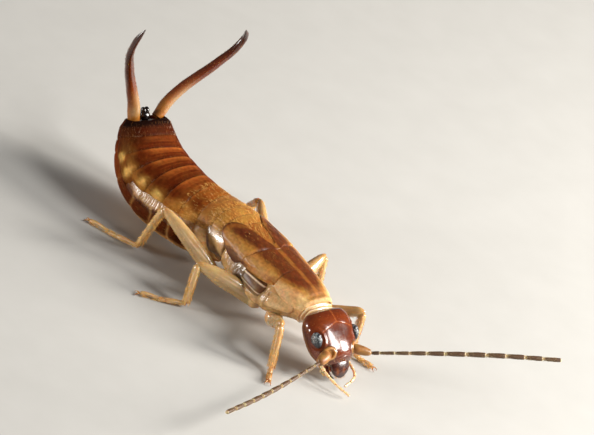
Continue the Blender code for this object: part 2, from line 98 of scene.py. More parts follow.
# Feelers: inside the head, end of the stout first joint, two places on the whip, tip
ANTENNAE = {
    "right": ((-0.42, -3.22, 0.88), (-0.88, -3.40, 0.80), (-2.20, -3.72, 0.74),
              (-3.90, -4.20, 0.88), (-5.45, -4.62, 1.10)),
    "left": ((0.42, -3.22, 0.92), (0.84, -3.58, 0.91), (2.15, -4.46, 1.27),
             (3.60, -5.47, 1.64), (5.00, -6.42, 1.90)),
}
WHIP_JOINTS = (0.0, 0.045, 0.125, 0.20, 0.29, 0.385, 0.495, 0.60, 0.705, 0.805, 0.90, 1.0)
PALPS = {
    "right": ((-0.40, -2.98, 0.52), (-0.44, -3.34, 0.40), (-0.36, -3.74, 0.28), (-0.17, -4.20, 0.16)),
    "left": ((0.40, -2.98, 0.52), (0.44, -3.38, 0.48), (0.26, -3.80, 0.40), (-0.13, -3.91, 0.24)),
}
BLADES = {
    "right": ((-0.44, 0.03, 0.03), (-0.54, 0.38, 0.16), (-0.75, 0.75, 0.34), (-1.42, 1.49, 1.00),
              (-1.85, 2.00, 1.57), (-1.93, 2.28, 1.87), (-1.90, 2.57, 2.20)),
    "left": ((0.52, 0.03, 0.03), (0.72, 0.28, 0.10), (1.01, 0.54, 0.22), (1.95, 1.26, 0.83),
             (2.38, 1.64, 1.15), (2.47, 1.93, 1.42), (2.16, 2.18, 1.81)),
}
BLADE_START = 0.06


def tone(red, green, blue):
    """A colour given on the 0 to 255 scale, as linear light."""
    share = np.array([red, green, blue]) / 255
    return np.where(share <= 0.04045, share / 12.92, ((share + 0.055) / 1.055) ** 2.4)


BLACK_HORN = tone(20, 10, 8)
TAIL_BROWN = tone(62, 24, 8)
MAHOGANY = tone(84, 30, 8)
RED_BROWN = tone(122, 54, 18)
RIM_ORANGE = tone(172, 92, 38)
OCHRE = tone(184, 128, 56)
WARM_OCHRE = tone(166, 104, 40)
PALE_TAN = tone(232, 186, 128)
CREAM = tone(246, 216, 178)
SPOT_TAN = tone(226, 178, 98)
SKIN_TAN = tone(204, 156, 98)
OLIVE_TAN = tone(138, 108, 66)
GREY_BROWN = tone(108, 84, 64)
SMOKE_BROWN = tone(66, 50, 40)
BAND_BROWN = tone(92, 45, 14)
LIMB_TAN = tone(234, 198, 140)
LIMB_AMBER = tone(188, 136, 74)
HEAD_RED = tone(112, 43, 10)
HEAD_DARK = tone(66, 22, 8)
EYE_BLUE = tone(40, 50, 62)
# Pale grey for the glints painted on the eyes' facets
EYE_GLINT = tone(196, 204, 202)
FEELER_GREY = tone(88, 62, 40)
FEELER_RING = tone(208, 186, 140)
HAIR_GOLD = tone(206, 150, 70)
HAIR_BRIGHT = tone(240, 186, 98)
HAIR_BROWN = tone(150, 92, 36)


def row_place(points):
    """(left, back, up) places in millimetres as points in metres."""
    return (np.asarray(points, float) + (MIDLINE_X, THORAX_Y, 0.0)) * MM


def smooth_value(places, values, at):
    """A smooth curve through a row of stations."""
    places, values = np.array(places, float), np.array(values, float)
    slopes = np.gradient(values, places)
    at = np.clip(at, places[0], places[-1])
    i = np.clip(np.searchsorted(places, at, side="right") - 1, 0, len(places) - 2)
    width = places[i + 1] - places[i]
    t = (at - places[i]) / width
    return ((1 + 2 * t) * (1 - t) ** 2 * values[i] + t * (1 - t) ** 2 * width * slopes[i]
            + t * t * (3 - 2 * t) * values[i + 1] + t * t * (t - 1) * width * slopes[i + 1])


def step(value, zero, one):
    """A smooth change from 0 at one place to 1 at another, which may lie on either side of it."""
    t = np.clip((value - zero) / (one - zero), 0, 1)
    return t * t * (3 - 2 * t)


def hump(value, centre, reach):
    """A smooth rise that is 1 at its centre and 0 beyond its reach."""
    return step(1 - np.abs(value - centre) / reach, 0, 1)


def wobble(along, turn, fineness=3.0, lengthwise=1.0, shift=0.0):
    """Smooth uneven waves between about -1 and 1, for irregular edges and blotches in the paint."""
    total = 0.0
    for k in range(1, 7):
        around = round(fineness * k * 0.9) * np.radians(turn)
        wave = lengthwise * fineness * (0.8 + 0.37 * k) * along * (-1) ** k + around
        total = total + np.sin(wave + 2.4 * k + shift * (1 + 0.3 * k)) / (1 + 0.25 * k)
    return total / 2.6


def mix(first, second, share):
    """Between two colours, by a share for each point."""
    share = np.asarray(share, float)[..., None]
    return first * (1 - share) + second * share


def layered(colours, *marks):
    """Colours with marks laid over them in turn, each a colour and its share at each point."""
    for colour, share in marks:
        colours = mix(colours, colour, share)
    return colours


def with_gloss(colours, rough):
    """Colours with a share of the material's roughness for each point."""
    return np.concatenate([colours, np.broadcast_to(rough, colours.shape[:-1])[..., None]], axis=-1)


def turns(count):
    """Turns in degrees, evenly spread round a ring."""
    return np.linspace(0, 360, count, endpoint=False)


def unit(vectors):
    """Vectors at length one."""
    return vectors / (np.linalg.norm(vectors, axis=-1, keepdims=True) + 1e-12)


def spine_table():
    """The trunk's axis, added up from its tilt and sideways bend."""
    places = np.arange(round(TRUNK_LENGTH / SPINE_STEP) + 1) * SPINE_STEP
    tilt = np.radians(smooth_value(TILT_PLACES, TILT_DEGREES, places))
    bend = np.radians(smooth_value(BEND_PLACES, BEND_DEGREES, places))
    steps = np.stack([np.sin(bend), np.cos(bend) * np.cos(tilt), np.cos(bend) * np.sin(tilt)], axis=1)
    points = np.concatenate([np.zeros((1, 3)), np.cumsum(steps[:-1] * SPINE_STEP, axis=0)])
    return places, points + (0.0, *TRUNK_FRONT), tilt, bend


SPINE = spine_table()


def read_rows(at, places, rows):
    """The rows of a table of triples, at places between its own."""
    return np.stack([np.interp(at, places, rows[:, k]) for k in range(3)], axis=-1)


def trunk_point(along, side, rise):
    """Points of the trunk: along its axis, to its left, and above the axis."""
    along, side, rise = np.broadcast_arrays(np.asarray(along, float), side, rise)
    places, points, tilts, bends = SPINE
    reach = np.clip(along, 0.0, TRUNK_LENGTH)
    tilt, bend = np.interp(reach, places, tilts), np.interp(reach, places, bends)
    cb, sb, ct, st = np.cos(bend), np.sin(bend), np.cos(tilt), np.sin(tilt)
    ahead = np.stack([sb, cb * ct, cb * st], axis=-1)
    left = np.stack([cb, -sb * ct, -sb * st], axis=-1)
    above = np.stack([0 * tilt, -st, ct], axis=-1)
    centre = read_rows(reach, places, points)
    return centre + ahead * (along - reach)[..., None] + left * side[..., None] + above * rise[..., None]


def oval(turn, half_width, height, depth, roundness):
    """Points of a rounded cross-section, for turns in degrees."""
    c, s = np.cos(np.radians(turn)), np.sin(np.radians(turn))
    side = np.sign(c) * np.abs(c) ** (2 / roundness) * half_width
    return side, np.sign(s) * np.abs(s) ** (2 / roundness) * np.where(s > 0, height, depth)


def trunk_surface(along, turn, grow=0.0):
    """Points of the trunk's surface, a little in or out of it by grow."""
    sizes = [smooth_value(GIRTH_PLACES, values, along) + grow for values in (HALF_WIDTHS, HEIGHTS, DEPTHS)]
    return trunk_point(along, *oval(turn, *sizes, TRUNK_ROUNDNESS))


def from_midline(turn):
    """Degrees down from the middle of the back."""
    return np.abs(((turn - 90.0) + 180.0) % 360.0 - 180.0)


def head_point(points):
    """Points of the head's own frame as (left, back, up) places."""
    nod = math.radians(HEAD_NOD_DEGREES)
    turn = np.array([[1, 0, 0], [0, math.cos(nod), -math.sin(nod)], [0, math.sin(nod), math.cos(nod)]])
    return np.asarray(points, float) @ turn.T + HEAD_PLACE


def unit_ball(rows, cols):
    """Points of a ball of radius one, in rings from its front pole to its back pole."""
    lat, lon = np.radians(np.linspace(-89, 89, rows))[:, None], np.radians(turns(cols))[None, :]
    return np.stack([np.cos(lat) * np.cos(lon), np.sin(lat) + 0 * lon, np.cos(lat) * np.sin(lon)], axis=-1)


class Shape:
    """Sheets of points gathered into one mesh, in millimetres, with a colour for each point."""

    def __init__(self):
        self.points, self.paint, self.quads, self.triangles, self.patches = [], [], [], [], []
        self.total = 0

    def add(self, points, paint, quads=(), triangles=(), patches=None):
        """Adds points with their colours and the faces between them; returns the first one's number.
        A colour's fourth number, where there is one, makes the surface rougher or glossier."""
        points = np.asarray(points, float).reshape(-1, 3)
        paint = np.asarray(paint, float)
        if paint.shape[-1] == 3:
            paint = with_gloss(paint, 1.0)
        start = self.total
        self.points.append(points)
        self.paint.append(np.broadcast_to(paint.reshape(-1, 4), (len(points), 4)))
        for block, faces in ((self.quads, quads), (self.triangles, triangles)):
            if len(faces):
                block.append(np.asarray(faces) + start)
        if patches is not None:
            self.patches.append(patches.reshape(-1, 2))
        self.total += len(points)
        return start

    def sheet(self, points, paint, closed=False, flip=False):
        """Rows of points joined into quads; closed joins the last column to the first."""
        rows, cols = points.shape[:2]
        i, j = np.meshgrid(np.arange(rows - 1), np.arange(cols if closed else cols - 1), indexing="ij")
        k = (j + 1) % cols
        quads = np.stack([i * cols + j, i * cols + k, (i + 1) * cols + k, (i + 1) * cols + j], axis=-1)
        return self.add(points, paint, quads.reshape(-1, 4)[:, ::-1 if flip else 1])

    def tube(self, points, paint):
        """Rows of rings made into one closed body, with a fan at each end."""
        start = self.sheet(points, paint, closed=True)
        rows, cols = points.shape[:2]
        ring = np.arange(cols)
        after = (ring + 1) % cols
        colours = np.broadcast_to(paint, points.shape[:-1] + np.shape(paint)[-1:])
        for row, order in ((0, 1), (rows - 1, -1)):
            hub = self.add(points[row].mean(axis=0), colours[row].mean(axis=0))
            near = start + row * cols
            fan = np.stack([near + after, near + ring, np.full(cols, hub)], axis=-1)
            self.triangles.append(fan[:, ::order])

    def shell(self, outer, inner, paint):
        """A thin closed plate between an outer and an inner sheet of the same rows and columns."""
        rows, cols = outer.shape[:2]
        first, second = self.sheet(outer, paint), self.sheet(inner, paint, flip=True)
        numbers = np.arange(rows * cols).reshape(rows, cols)
        around = np.concatenate([numbers[0], numbers[1:, -1], numbers[-1, -2::-1], numbers[-2:0:-1, 0]])
        after = np.roll(around, -1)
        self.quads.append(np.stack([first + after, first + around, second + around, second + after], axis=-1))

    def make(self, name, material, sharp=50.0, tidy=True):
        """The mesh object in metres, riding on the one body."""
        mesh = bpy.data.meshes.new(name)
        faces = [face for block in self.quads + self.triangles for face in block.tolist()]
        mesh.from_pydata(row_place(np.concatenate(self.points)).tolist(), [], faces)
        paint = mesh.attributes.new("paint", "FLOAT_COLOR", "POINT")
        paint.data.foreach_set("color", np.concatenate(self.paint).astype(np.float32).ravel())
        if self.patches:
            spots = np.concatenate(self.patches)
            corners = np.empty(len(mesh.loops), np.int32)
            mesh.loops.foreach_get("vertex_index", corners)
            layer = mesh.uv_layers.new(name="OFBake")
            layer.data.foreach_set("uv", spots[corners].astype(np.float32).ravel())
        if tidy:
            bm = bmesh.new()
            bm.from_mesh(mesh)
            bmesh.ops.remove_doubles(bm, verts=bm.verts, dist=1e-8)
            bmesh.ops.recalc_face_normals(bm, faces=bm.faces)
            bm.to_mesh(mesh)
            bm.free()
        mesh.validate()
        mesh.shade_smooth()
        mesh.set_sharp_from_angle(angle=math.radians(sharp))
        mesh.materials.append(material)
        made = show(name, mesh)
        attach(made, "root")
        return made


def show(name, data):
    """A new object of the scene."""
    made = bpy.data.objects.new(name, data)
    bpy.context.scene.collection.objects.link(made)
    return made


def new_material(name, **settings):
    """A material with its Principled shader's constants set on the shader itself."""
    made = bpy.data.materials.new(name)
    made.use_nodes = True
    shader = made.node_tree.nodes["Principled BSDF"]
    for socket, value in settings.items():
        shader.inputs[socket.replace("_", " ")].default_value = value
    return made, made.node_tree, shader


def add_node(tree, kind, sockets, **choices):
    """A node with its sockets set to constants or joined to other nodes, and its own choices made."""
    node = tree.nodes.new("ShaderNode" + kind)
    for name, value in choices.items():
        setattr(node, name, value)
    for name, value in sockets.items():
        if isinstance(value, bpy.types.NodeSocket):
            tree.links.new(value, node.inputs[name])
        else:
            node.inputs[name].default_value = value
    return node


def noise(tree, spot, scale, detail=3.0, roughness=0.5):
    """A noise texture over the piece's own coordinates; scale is grains per metre."""
    sockets = {"Scale": scale, "Detail": detail, "Roughness": roughness, "Vector": spot.outputs["Object"]}
    return add_node(tree, "TexNoise", sockets).outputs["Fac"]


def spread(tree, source, low, high):
    """Maps a texture's middle range onto low to high."""
    sockets = {"From Min": 0.3, "From Max": 0.7, "To Min": low, "To Max": high, "Value": source}
    return add_node(tree, "MapRange", sockets).outputs["Result"]


def times(tree, first, second):
    """The product of two values."""
    return add_node(tree, "Math", {0: first, 1: second}, operation="MULTIPLY").outputs[0]


def relief(tree, height, strength, depth, below=None, **choices):
    """The surface's direction over fine relief, laid on the relief below it."""
    sockets = {"Strength": strength, "Distance": depth * MM, "Height": height}
    if below is not None:
        sockets["Normal"] = below
    return add_node(tree, "Bump", sockets, **choices).outputs["Normal"]


SOFT_RADIUS = (1.0, 0.42, 0.16)
FACETS_PER_METRE = 42000


def painted(name, mottle=0.16, grain=14000, roughness=(0.2, 0.34), bumps=((30000, 0.5),), depth=0.0015,
            glow=None, **settings):
    """A surface with its painted marks, mottled by fine grain, with uneven gloss and fine relief. Glow is
    the weight and the depth of the light under the surface."""
    if glow:
        settings.update(Subsurface_Weight=glow[0], Subsurface_Scale=glow[1], Subsurface_Radius=SOFT_RADIUS)
    made, tree, shader = new_material(name, **settings)
    spot = tree.nodes.new("ShaderNodeTexCoord")
    paint = add_node(tree, "Attribute", {}, attribute_name="paint")
    value = spread(tree, noise(tree, spot, grain, 4.0), 1 - mottle, 1 + mottle)
    warm = spread(tree, noise(tree, spot, grain * 0.37, 2.0), 1 - 0.6 * mottle, 1 + 0.6 * mottle)
    product = times(tree, value, warm)
    grey = add_node(tree, "CombineColor", {"Red": value, "Green": product, "Blue": product})
    shade = add_node(tree, "Mix", {}, data_type="RGBA", blend_type="MULTIPLY")
    shade.inputs["Factor"].default_value = 1.0
    tree.links.new(paint.outputs["Color"], shade.inputs["A"])
    tree.links.new(grey.outputs["Color"], shade.inputs["B"])
    tree.links.new(shade.outputs["Result"], shader.inputs["Base Color"])
    uneven = spread(tree, noise(tree, spot, grain * 0.8, 3.0), *roughness)
    tree.links.new(times(tree, uneven, paint.outputs["Alpha"]), shader.inputs["Roughness"])
    facing = None
    for scale, strength in bumps:
        facing = relief(tree, noise(tree, spot, scale, 3.0, 0.6), strength, depth, facing)
    tree.links.new(facing, shader.inputs["Normal"])
    return made


def eye_material():
    """Blue-black eye with fine round facets."""
    made = painted("eye_facets", mottle=0.3, grain=20000, roughness=(0.28, 0.42), bumps=((60000, 0.1),),
                   depth=0.001, Coat_Weight=0.6, Coat_Roughness=0.12)
    tree = made.node_tree
    spot = tree.nodes.new("ShaderNodeTexCoord")
    sockets = {"Scale": FACETS_PER_METRE, "Randomness": 0.35, "Vector": spot.outputs["Object"]}
    cells = add_node(tree, "TexVoronoi", sockets).outputs["Distance"]
    facing = relief(tree, cells, 1.0, 0.009, invert=True)
    tree.links.new(facing, tree.nodes["Principled BSDF"].inputs["Normal"])
    return made


GLOSS = painted("side_plate_gloss", roughness=(0.14, 0.30), bumps=((11000, 0.7), (34000, 0.5)), depth=0.007,
                glow=(0.2, 0.00012), Coat_Weight=0.7, Coat_Roughness=0.10)
SHELL = painted("shell", 0.24, 11000, (0.34, 0.50), ((7000, 0.4), (34000, 0.4)), 0.004, (0.2, 0.00012),
                Specular_IOR_Level=0.32, Coat_Weight=0.12, Coat_Roughness=0.22)
VELVET_SHELL = painted("velvet_shell", 0.24, 11000, (0.42, 0.60), ((7000, 0.4), (34000, 0.5)), 0.004,
                       (0.2, 0.00012), Specular_IOR_Level=0.02)
HEAD_SHELL = painted("head_shell_gloss", roughness=(0.16, 0.28), bumps=((7000, 0.6), (40000, 0.4)),
                     depth=0.004, glow=(0.15, 0.0001), Specular_IOR_Level=0.4, Coat_Weight=0.55,
                     Coat_Roughness=0.09)
SOFT_SKIN = painted("soft_skin", 0.12, 9000, (0.24, 0.40), ((7000, 0.8), (26000, 0.9)), 0.010, (0.5, 0.0002),
                    Coat_Weight=0.30, Coat_Roughness=0.14)
LIMB_SHELL = painted("limb_shell", 0.10, 8000, (0.16, 0.30), ((9000, 0.5), (34000, 0.5)), 0.005,
                     (0.6, 0.00016), Coat_Weight=0.8, Coat_Roughness=0.10)
HORN = painted("horn_gloss", 0.14, 14000, (0.16, 0.28), ((9000, 0.35), (30000, 0.3)), 0.003, (0.2, 0.00012),
               Coat_Weight=0.5, Coat_Roughness=0.07)
FEELER = painted("feeler_down", 0.2, 22000, (0.36, 0.55), ((26000, 0.8), (60000, 0.6)), 0.004, (0.2, 0.00008))
HAIR = painted("hair_gold", 0.2, 9000, (0.3, 0.45), ((60000, 0.3),), 0.001)
EYE = eye_material()


def plate(shape, front, rear, reach, grow, thick, paint, rows=26, cols=120, edge=0.05, middle=90.0):
    """A shell plate over the trunk. front and rear give its edges for a distance from the mid-line in
    degrees, reach is how far it goes down each side, and grow and paint take (along, turn, share)."""
    turn = np.linspace(middle - reach, middle + reach, cols)[None, :]
    low, high = front(np.abs(turn - middle)), rear(np.abs(turn - middle))
    share = np.linspace(0, 1, rows)[:, None]
    along = low + (high - low) * share
    turn, share = np.broadcast_to(turn, along.shape), np.broadcast_to(share, along.shape)
    rounding = 1.0
    for gap in (np.radians(reach - np.abs(turn - middle)), (1 - share) * (high - low)):
        rounding = rounding * np.sqrt(np.clip(1 - (1 - np.clip(gap / edge, 0, 1)) ** 2, 0, 1))
    top = grow(along, turn, share)
    shape.shell(trunk_surface(along, turn, top - thick * (1 - rounding)),
                trunk_surface(along, turn, top - thick * 1.05), paint(along, turn, share))


# Pale spots of the abdomen: place, degrees from the mid-line, and half sizes both ways
SIDE_SPOTS = ((5.56, 70, 0.21, 13), (6.10, 67, 0.18, 13), (6.60, 78, 0.15, 19), (7.05, 87, 0.16, 11))


def tergite_paint(along, turn, front, rear):
    """The marks of one ring's back plate: dark back, pale side spots, a thin lighter rear rim and a painted
    soft orange highlight near the mid-line over the rear rings' back halves.
    """
    reach = np.clip((along - front) / (rear - front), 0, 1)
    side = from_midline(turn)
    blur = wobble(along, turn, 3.0, 1.6)
    fine = wobble(along, turn, 11.0, 0.5, 1.7)
    lower = step(side + 5 * blur, 46, 66)
    near = np.clip(0.25 + 0.3 * fine + 0.6 * step(along, 4.2, 5.0), 0, 1)
    near = layered(mix(OCHRE, PALE_TAN, 0.15), (WARM_OCHRE, near),
                   (BAND_BROWN, step(along, 4.9, 5.5) * (0.84 + 0.1 * fine)))
    colours = layered(mix(WARM_OCHRE, OCHRE, 0.45 + 0.4 * blur),
                      (RED_BROWN, step(along, 3.5, 4.5) * (0.75 + 0.15 * fine)),
                      (MAHOGANY, step(along, 4.5, 5.4) * (0.92 - 0.12 * blur)),
                      (near, lower),
                      (MAHOGANY, 0.8 * (hump(side + 4 * blur, 40, 24) * hump(along, 4.48, 0.34))))
    for place, down, long, wide in SIDE_SPOTS:
        ahead = (along - place + 0.03 * fine + 0.02 * blur) / long
        off = np.hypot(ahead, (side - down + 3 * fine + 2 * blur) / wide)
        colours = layered(colours, (OCHRE, 0.55 * hump(off, 0, 1.7)),
                          (SPOT_TAN, np.clip(1.1 * hump(off, 0, 1.1), 0, 0.86)))
    middle = 1 - step(side + 3 * blur, 18, 44)
    # glow: a painted soft orange highlight near the mid-line, over each rear ring's back half
    glow = step(reach, 0.45, 0.90) * step(along, 4.6, 5.3) * middle
    rim_width = 0.05 / (rear - front)
    rim = step(reach, 1 - 2.0 * rim_width, 1 - 0.9 * rim_width) * (0.75 + 0.25 * fine)
    rim = rim + middle * (0.45 * hump(reach + 0.01 * blur, 0.62, 0.06) + 0.30 * hump(reach, 0.36, 0.05))
    rim_colour = mix(mix(OCHRE, RIM_ORANGE, step(along, 3.6, 4.8)), RED_BROWN, 0.3 * step(along, 7.2, 7.6))
    return layered(
        colours,
        (OCHRE, 0.35 * hump(side + 3 * blur, 76, 12) * step(along, 4.6, 5.2) * step(along, 6.5, 5.9)),
        (OCHRE, 0.35 * hump(side + 4 * fine, 72, 10) * step(along, 5.8, 6.2) * step(along, 7.1, 6.7)),
        (TAIL_BROWN, 0.5 * step(side, 84, 96) * step(along, 6.0, 6.8)),
        (RIM_ORANGE, (0.50 + 0.1 * fine) * glow * step(along, 7.6, 7.5)),
        (BLACK_HORN, 0.34 * step(reach, 0.30, 0.06) * step(along, 4.4, 5.2) * (1 - 0.6 * lower)),
        (rim_colour, (0.16 + 0.44 * middle) * rim * step(along, 7.8, 7.7)),
        (TAIL_BROWN, 0.66 * step(along, 7.0, 7.6) + 0.22 * step(along, 7.5, 7.8)),
        (BLACK_HORN, 0.92 * step(along + 0.02 * fine, 7.82, 7.98)))


def build_tergites():
    """Ten overlapping back plates, each tucked under the one before it."""
    downs = (70.0, 76.0, 80.0, 80.0, 78.0, 77.0, 82.0, 99.0, 107.0, 108.0)
    for number, (front, rear, down) in enumerate(zip(ABDOMEN_EDGES, ABDOMEN_EDGES[1:], downs), start=1):
        def grow(along, turn, share):
            reach = (along - front) / (rear - front)
            swell = 0.010 * hump(reach, 0.66, 0.8) + 0.004 * wobble(along, turn, 5.0)
            sag = -0.05 * step(from_midline(turn), down - 14, down)
            tail = -0.06 * step(along, 7.95, 8.1) if number == 10 else 0.0
            return -0.040 * step(reach, 0.22, -0.15) + swell + sag + tail

        shape = Shape()
        plate(shape, lambda side: front - 0.14 + 0.05 * step(side, 60, 100),
              lambda side: rear + (0.03 if number < 10 else -0.02) + 0.05 * step(side, 60, 100),
              down, grow, 0.022 if number < 7 else 0.016,
              lambda along, turn, share: tergite_paint(along, turn, front, rear),
              rows=34, cols=170, edge=0.028)
        piece = shape.make(f"tergite_{number:02d}", SHELL if number < 4 else VELVET_SHELL)
        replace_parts(piece, f"abdomen_{number:02d}")


BELLY_LAG = 0.24


def belly_patch(along, turn):
    """1 inside the dark patches low on the abdomen's sides, one to a ring."""
    side = from_midline(turn)
    blur = wobble(along, turn, 4.0, 1.5)
    reach = np.interp(along - BELLY_LAG, ABDOMEN_EDGES, range(len(ABDOMEN_EDGES))) % 1
    patch = step(side + 2 * blur, 89, 94) * step(side + 4 * blur, 138, 122) * step(along, 3.9, 4.5)
    return patch * step(reach, 0.03, 0.13) * step(reach + 0.03 * blur, 0.98, 0.89)


def sternite_paint(along, turn, share):
    """The marks of the belly plates: ochre below, brown with dark patches up the sides."""
    side = from_midline(turn)
    blur = wobble(along, turn, 4.0, 1.5)
    return layered(mix(WARM_OCHRE, SKIN_TAN, 0.55 + 0.35 * blur + 0.2 * step(side, 128, 150)),
                   (BAND_BROWN, 0.74 * step(side, 136, 118) * step(along, 4.2, 4.8)),
                   (mix(MAHOGANY, TAIL_BROWN, 0.45 + 0.3 * blur), 0.92 * belly_patch(along, turn)),
                   (RED_BROWN, 0.7 * step(along, 6.2, 7.1)), (TAIL_BROWN, 0.85 * step(along, 7.1, 7.7)))


def build_sternites():
    """Belly plates of the abdomen, overlapping towards the tail."""
    for number, edges in enumerate(zip(ABDOMEN_EDGES[1:], ABDOMEN_EDGES[2:]), start=2):
        front, rear = (edge + BELLY_LAG * step(edge, 7.6, 6.9) for edge in edges)
        start = 101.0 if number < 8 else 95.0

        def grow(along, turn, share):
            reach = (along - front) / (rear - front)
            tail, edge = -0.06 * step(along, 7.9, 8.1), -0.055 * step(from_midline(turn), start + 12, start)
            return -0.015 + 0.012 * hump(reach, 0.6, 0.8) - 0.04 * step(reach, 0.25, -0.15) + tail + edge

        shape = Shape()
        plate(shape, lambda side: front - 0.12 + 0 * side, lambda side: rear + 0.02 + 0 * side, 180.0 - start,
              grow, 0.025, sternite_paint, rows=30, cols=130, edge=0.03, middle=270.0)
        shape.make(f"sternite_{number:02d}", VELVET_SHELL)


def notum_bands(along, side, turn, edge):
    """Thin pale middle line, dark band either side of it and ochre beyond, for the thorax plates."""
    blur = wobble(along, turn, 5.0, 1.2)
    fine = wobble(along, turn, 16.0, 0.35, 0.8)
    spots = wobble(along, turn, 13.0, 0.9, 3.1)
    beyond = mix(OCHRE, WARM_OCHRE, np.clip(0.45 + 0.35 * fine + 0.25 * spots, 0, 1))
    return layered(mix(BAND_BROWN, RED_BROWN, np.clip(0.35 + 0.25 * fine + 0.40 * spots, 0, 1)),
                   (WARM_OCHRE, 0.55 * step(side, 4.5, 1.5)),
                   (beyond, step(side + 3.5 * blur + 2.5 * spots, edge - 8, edge + 9)))


def pronotum_paint(along, turn, share):
    """The first plate: brown bands that narrow forwards, clear tan flanks and a pale front edge."""
    side = from_midline(turn)
    blur = wobble(along, turn, 4.0, 1.5, 2.0)
    edge = 17 + 21 * step(along, 0.25, 1.0)
    return layered(notum_bands(along, side, turn, edge),
                   (PALE_TAN, (0.75 + 0.2 * blur) * step(side, edge + 4, edge + 24)),
                   (LIMB_AMBER, 0.5 * step(along, 0.6, 0.2) * step(side, edge + 30, edge)),
                   (PALE_TAN, 0.7 * step(along, 0.20, 0.05)),
                   (BAND_BROWN, 0.5 * hump(along, 1.02, 0.12) * hump(side, 30, 18)))


def forepad_paint(along, turn, share):
    """The second plate: ochre wing pads with a dark brown lower rear corner."""
    side = from_midline(turn)
    blur = wobble(along, turn, 4.0, 1.5, 4.0)
    colours = layered(notum_bands(along, side, turn, 39),
                      (mix(OCHRE, PALE_TAN, 0.3), (0.55 + 0.3 * blur) * hump(side, 60, 20)),
                      (BAND_BROWN, 0.9 * (step(side + 4 * blur, 74, 82) * step(along, 1.85, 2.15))),
                      (RED_BROWN, 0.35 * hump(along, 1.22, 0.12) * step(side, 40, 60)),
                      (BAND_BROWN, 0.25 * step(share, 0.95, 1.0)))
    return with_gloss(colours, 1 + 0.6 * step(side, 45, 65))


def hindpad_paint(along, turn, share):
    """The third plate: rounded wing pads with a dark brown outline and dark inner band."""
    side = from_midline(turn)
    blur = wobble(along, turn, 4.0, 1.5, 6.0)
    spots = wobble(along, turn, 12.0, 1.0, 1.2)
    upper = smooth_value((2.0, 2.25, 2.55, 2.85, 3.05), (88, 84, 75, 78, 84), along)
    # Darker over the pad's lower part
    low_dark_band = step(side + 3 * spots, upper - 3, upper + 4) * step(along, 3.05, 2.85)
    rim = step(share + 0.012 * blur, 0.90, 0.985) * step(side, 12, 20)
    lower = step(side + 2 * blur, 84, 92) * step(along, 3.2, 3.05)
    inner = hump(side + 3 * blur, 30, 15) * step(along, 2.2, 2.5)
    colours = layered(notum_bands(along, side, turn, 37 + 12 * step(along, 2.3, 3.05)),
                      (HEAD_DARK, (0.40 + 0.25 * spots) * inner),
                      (mix(OCHRE, PALE_TAN, 0.15), (0.45 + 0.35 * spots) * hump(side, 60, 18)),
                      (WARM_OCHRE, 0.5 * step(share + 0.04 * spots, 0.74, 0.93)),
                      (mix(BAND_BROWN, SMOKE_BROWN, 0.15 + 0.25 * spots), 0.85 * low_dark_band),
                      (BAND_BROWN, 0.6 * (step(side + 4 * blur, 66, 80) * step(along, 2.5, 2.3))),
                      (mix(BAND_BROWN, BLACK_HORN, 0.3), 0.85 * np.maximum(rim, lower)))
    return with_gloss(colours, 1 + 0.6 * step(side, 45, 65))


def core_paint(along, turn, share):
    """The ochre-brown plate that shows in the notch between the wing pads."""
    return layered(mix(WARM_OCHRE, OCHRE, 0.25 + 0.35 * wobble(along, turn, 12.0, 0.5, 3.0)),
                   (RED_BROWN, 0.35 + 0.30 * step(from_midline(turn), 10, 26)))


def build_thorax():
    """The three thorax plates, with the wing pads lying over the rings behind them."""
    shape = Shape()
    plate(shape, lambda side: 0.02 + 0.06 * (side / 80) ** 2 + 0.25 * step(side, 70, 84) ** 2,
          lambda side: 1.17 - 0.10 * (side / 60) ** 2 * (side < 60) - 0.10 * (side >= 60)
          - 0.30 * step(side, 66, 84) ** 2, 84.0,
          lambda along, turn, share: 0.03 - 0.03 * step(share, 0.10, 0.0) - 0.02 * hump(share, 0.16, 0.10)
          + 0.01 * hump(share, 0.5, 0.6) + 0.006 * wobble(along, turn, 6.0),
          0.03, pronotum_paint, rows=70, cols=170, edge=0.03)
    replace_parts(shape.make("pronotum_plate", SHELL), "pronotum")

    shape = Shape()
    plate(shape,
          lambda side: smooth_value((0, 60, 70, 78, 84, 89), (1.00, 1.02, 1.07, 1.18, 1.48, 1.98), side),
          lambda side: smooth_value((0, 40, 60, 72, 80, 89), (2.04, 2.10, 2.16, 2.24, 2.32, 2.30), side),
          89.0,
          lambda along, turn, share: 0.020
          - 0.06 * step(share, 0.18, 0.05) * step(from_midline(turn), 72, 66)
          + 0.035 * hump(share, 0.07, 0.13) * step(from_midline(turn), 68, 75)
          + 0.014 * hump(from_midline(turn), 60, 24) + 0.006 * wobble(along, turn, 6.0, 0.6),
          0.03, forepad_paint, rows=70, cols=180, edge=0.03)
    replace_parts(shape.make("mesonotum_plate", SHELL), "mesonotum")

    shape = Shape()
    plate(shape, lambda side: 1.95 + 0 * side, lambda side: 3.05 + 0 * side, 80.0,
          lambda along, turn, share: -0.05 * step(share, 0.18, 0.05), 0.03, core_paint, rows=40, cols=100)
    sides = (0, 4, 8, 12, 17, 24, 33, 44, 55, 66, 78, 88, 98)
    rears = (2.18, 2.24, 2.50, 2.78, 3.02, 3.17, 3.27, 3.32, 3.32, 3.25, 3.08, 2.92, 2.5)
    plate(shape, lambda side: 1.93 + 0.10 * (side / 60) + 0.28 * step(side, 76, 98) ** 2,
          lambda side: smooth_value(sides, rears, side), 98.0,
          lambda along, turn, share: 0.030 - 0.07 * step(share, 0.16, 0.04)
          + 0.016 * hump(from_midline(turn), 57, 26) + 0.006 * wobble(along, turn, 6.0, 0.6),
          0.03, hindpad_paint, rows=80, cols=200, edge=0.035)
    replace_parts(shape.make("metanotum_plate", SHELL), "metanotum")


# Bulges of the skin over the hips: place along the trunk and lift
HIP_BULGES = ((0.74, 0.20), (1.18, 0.30), (1.62, 0.27), (1.98, 0.15), (2.34, 0.25), (2.85, 0.18))


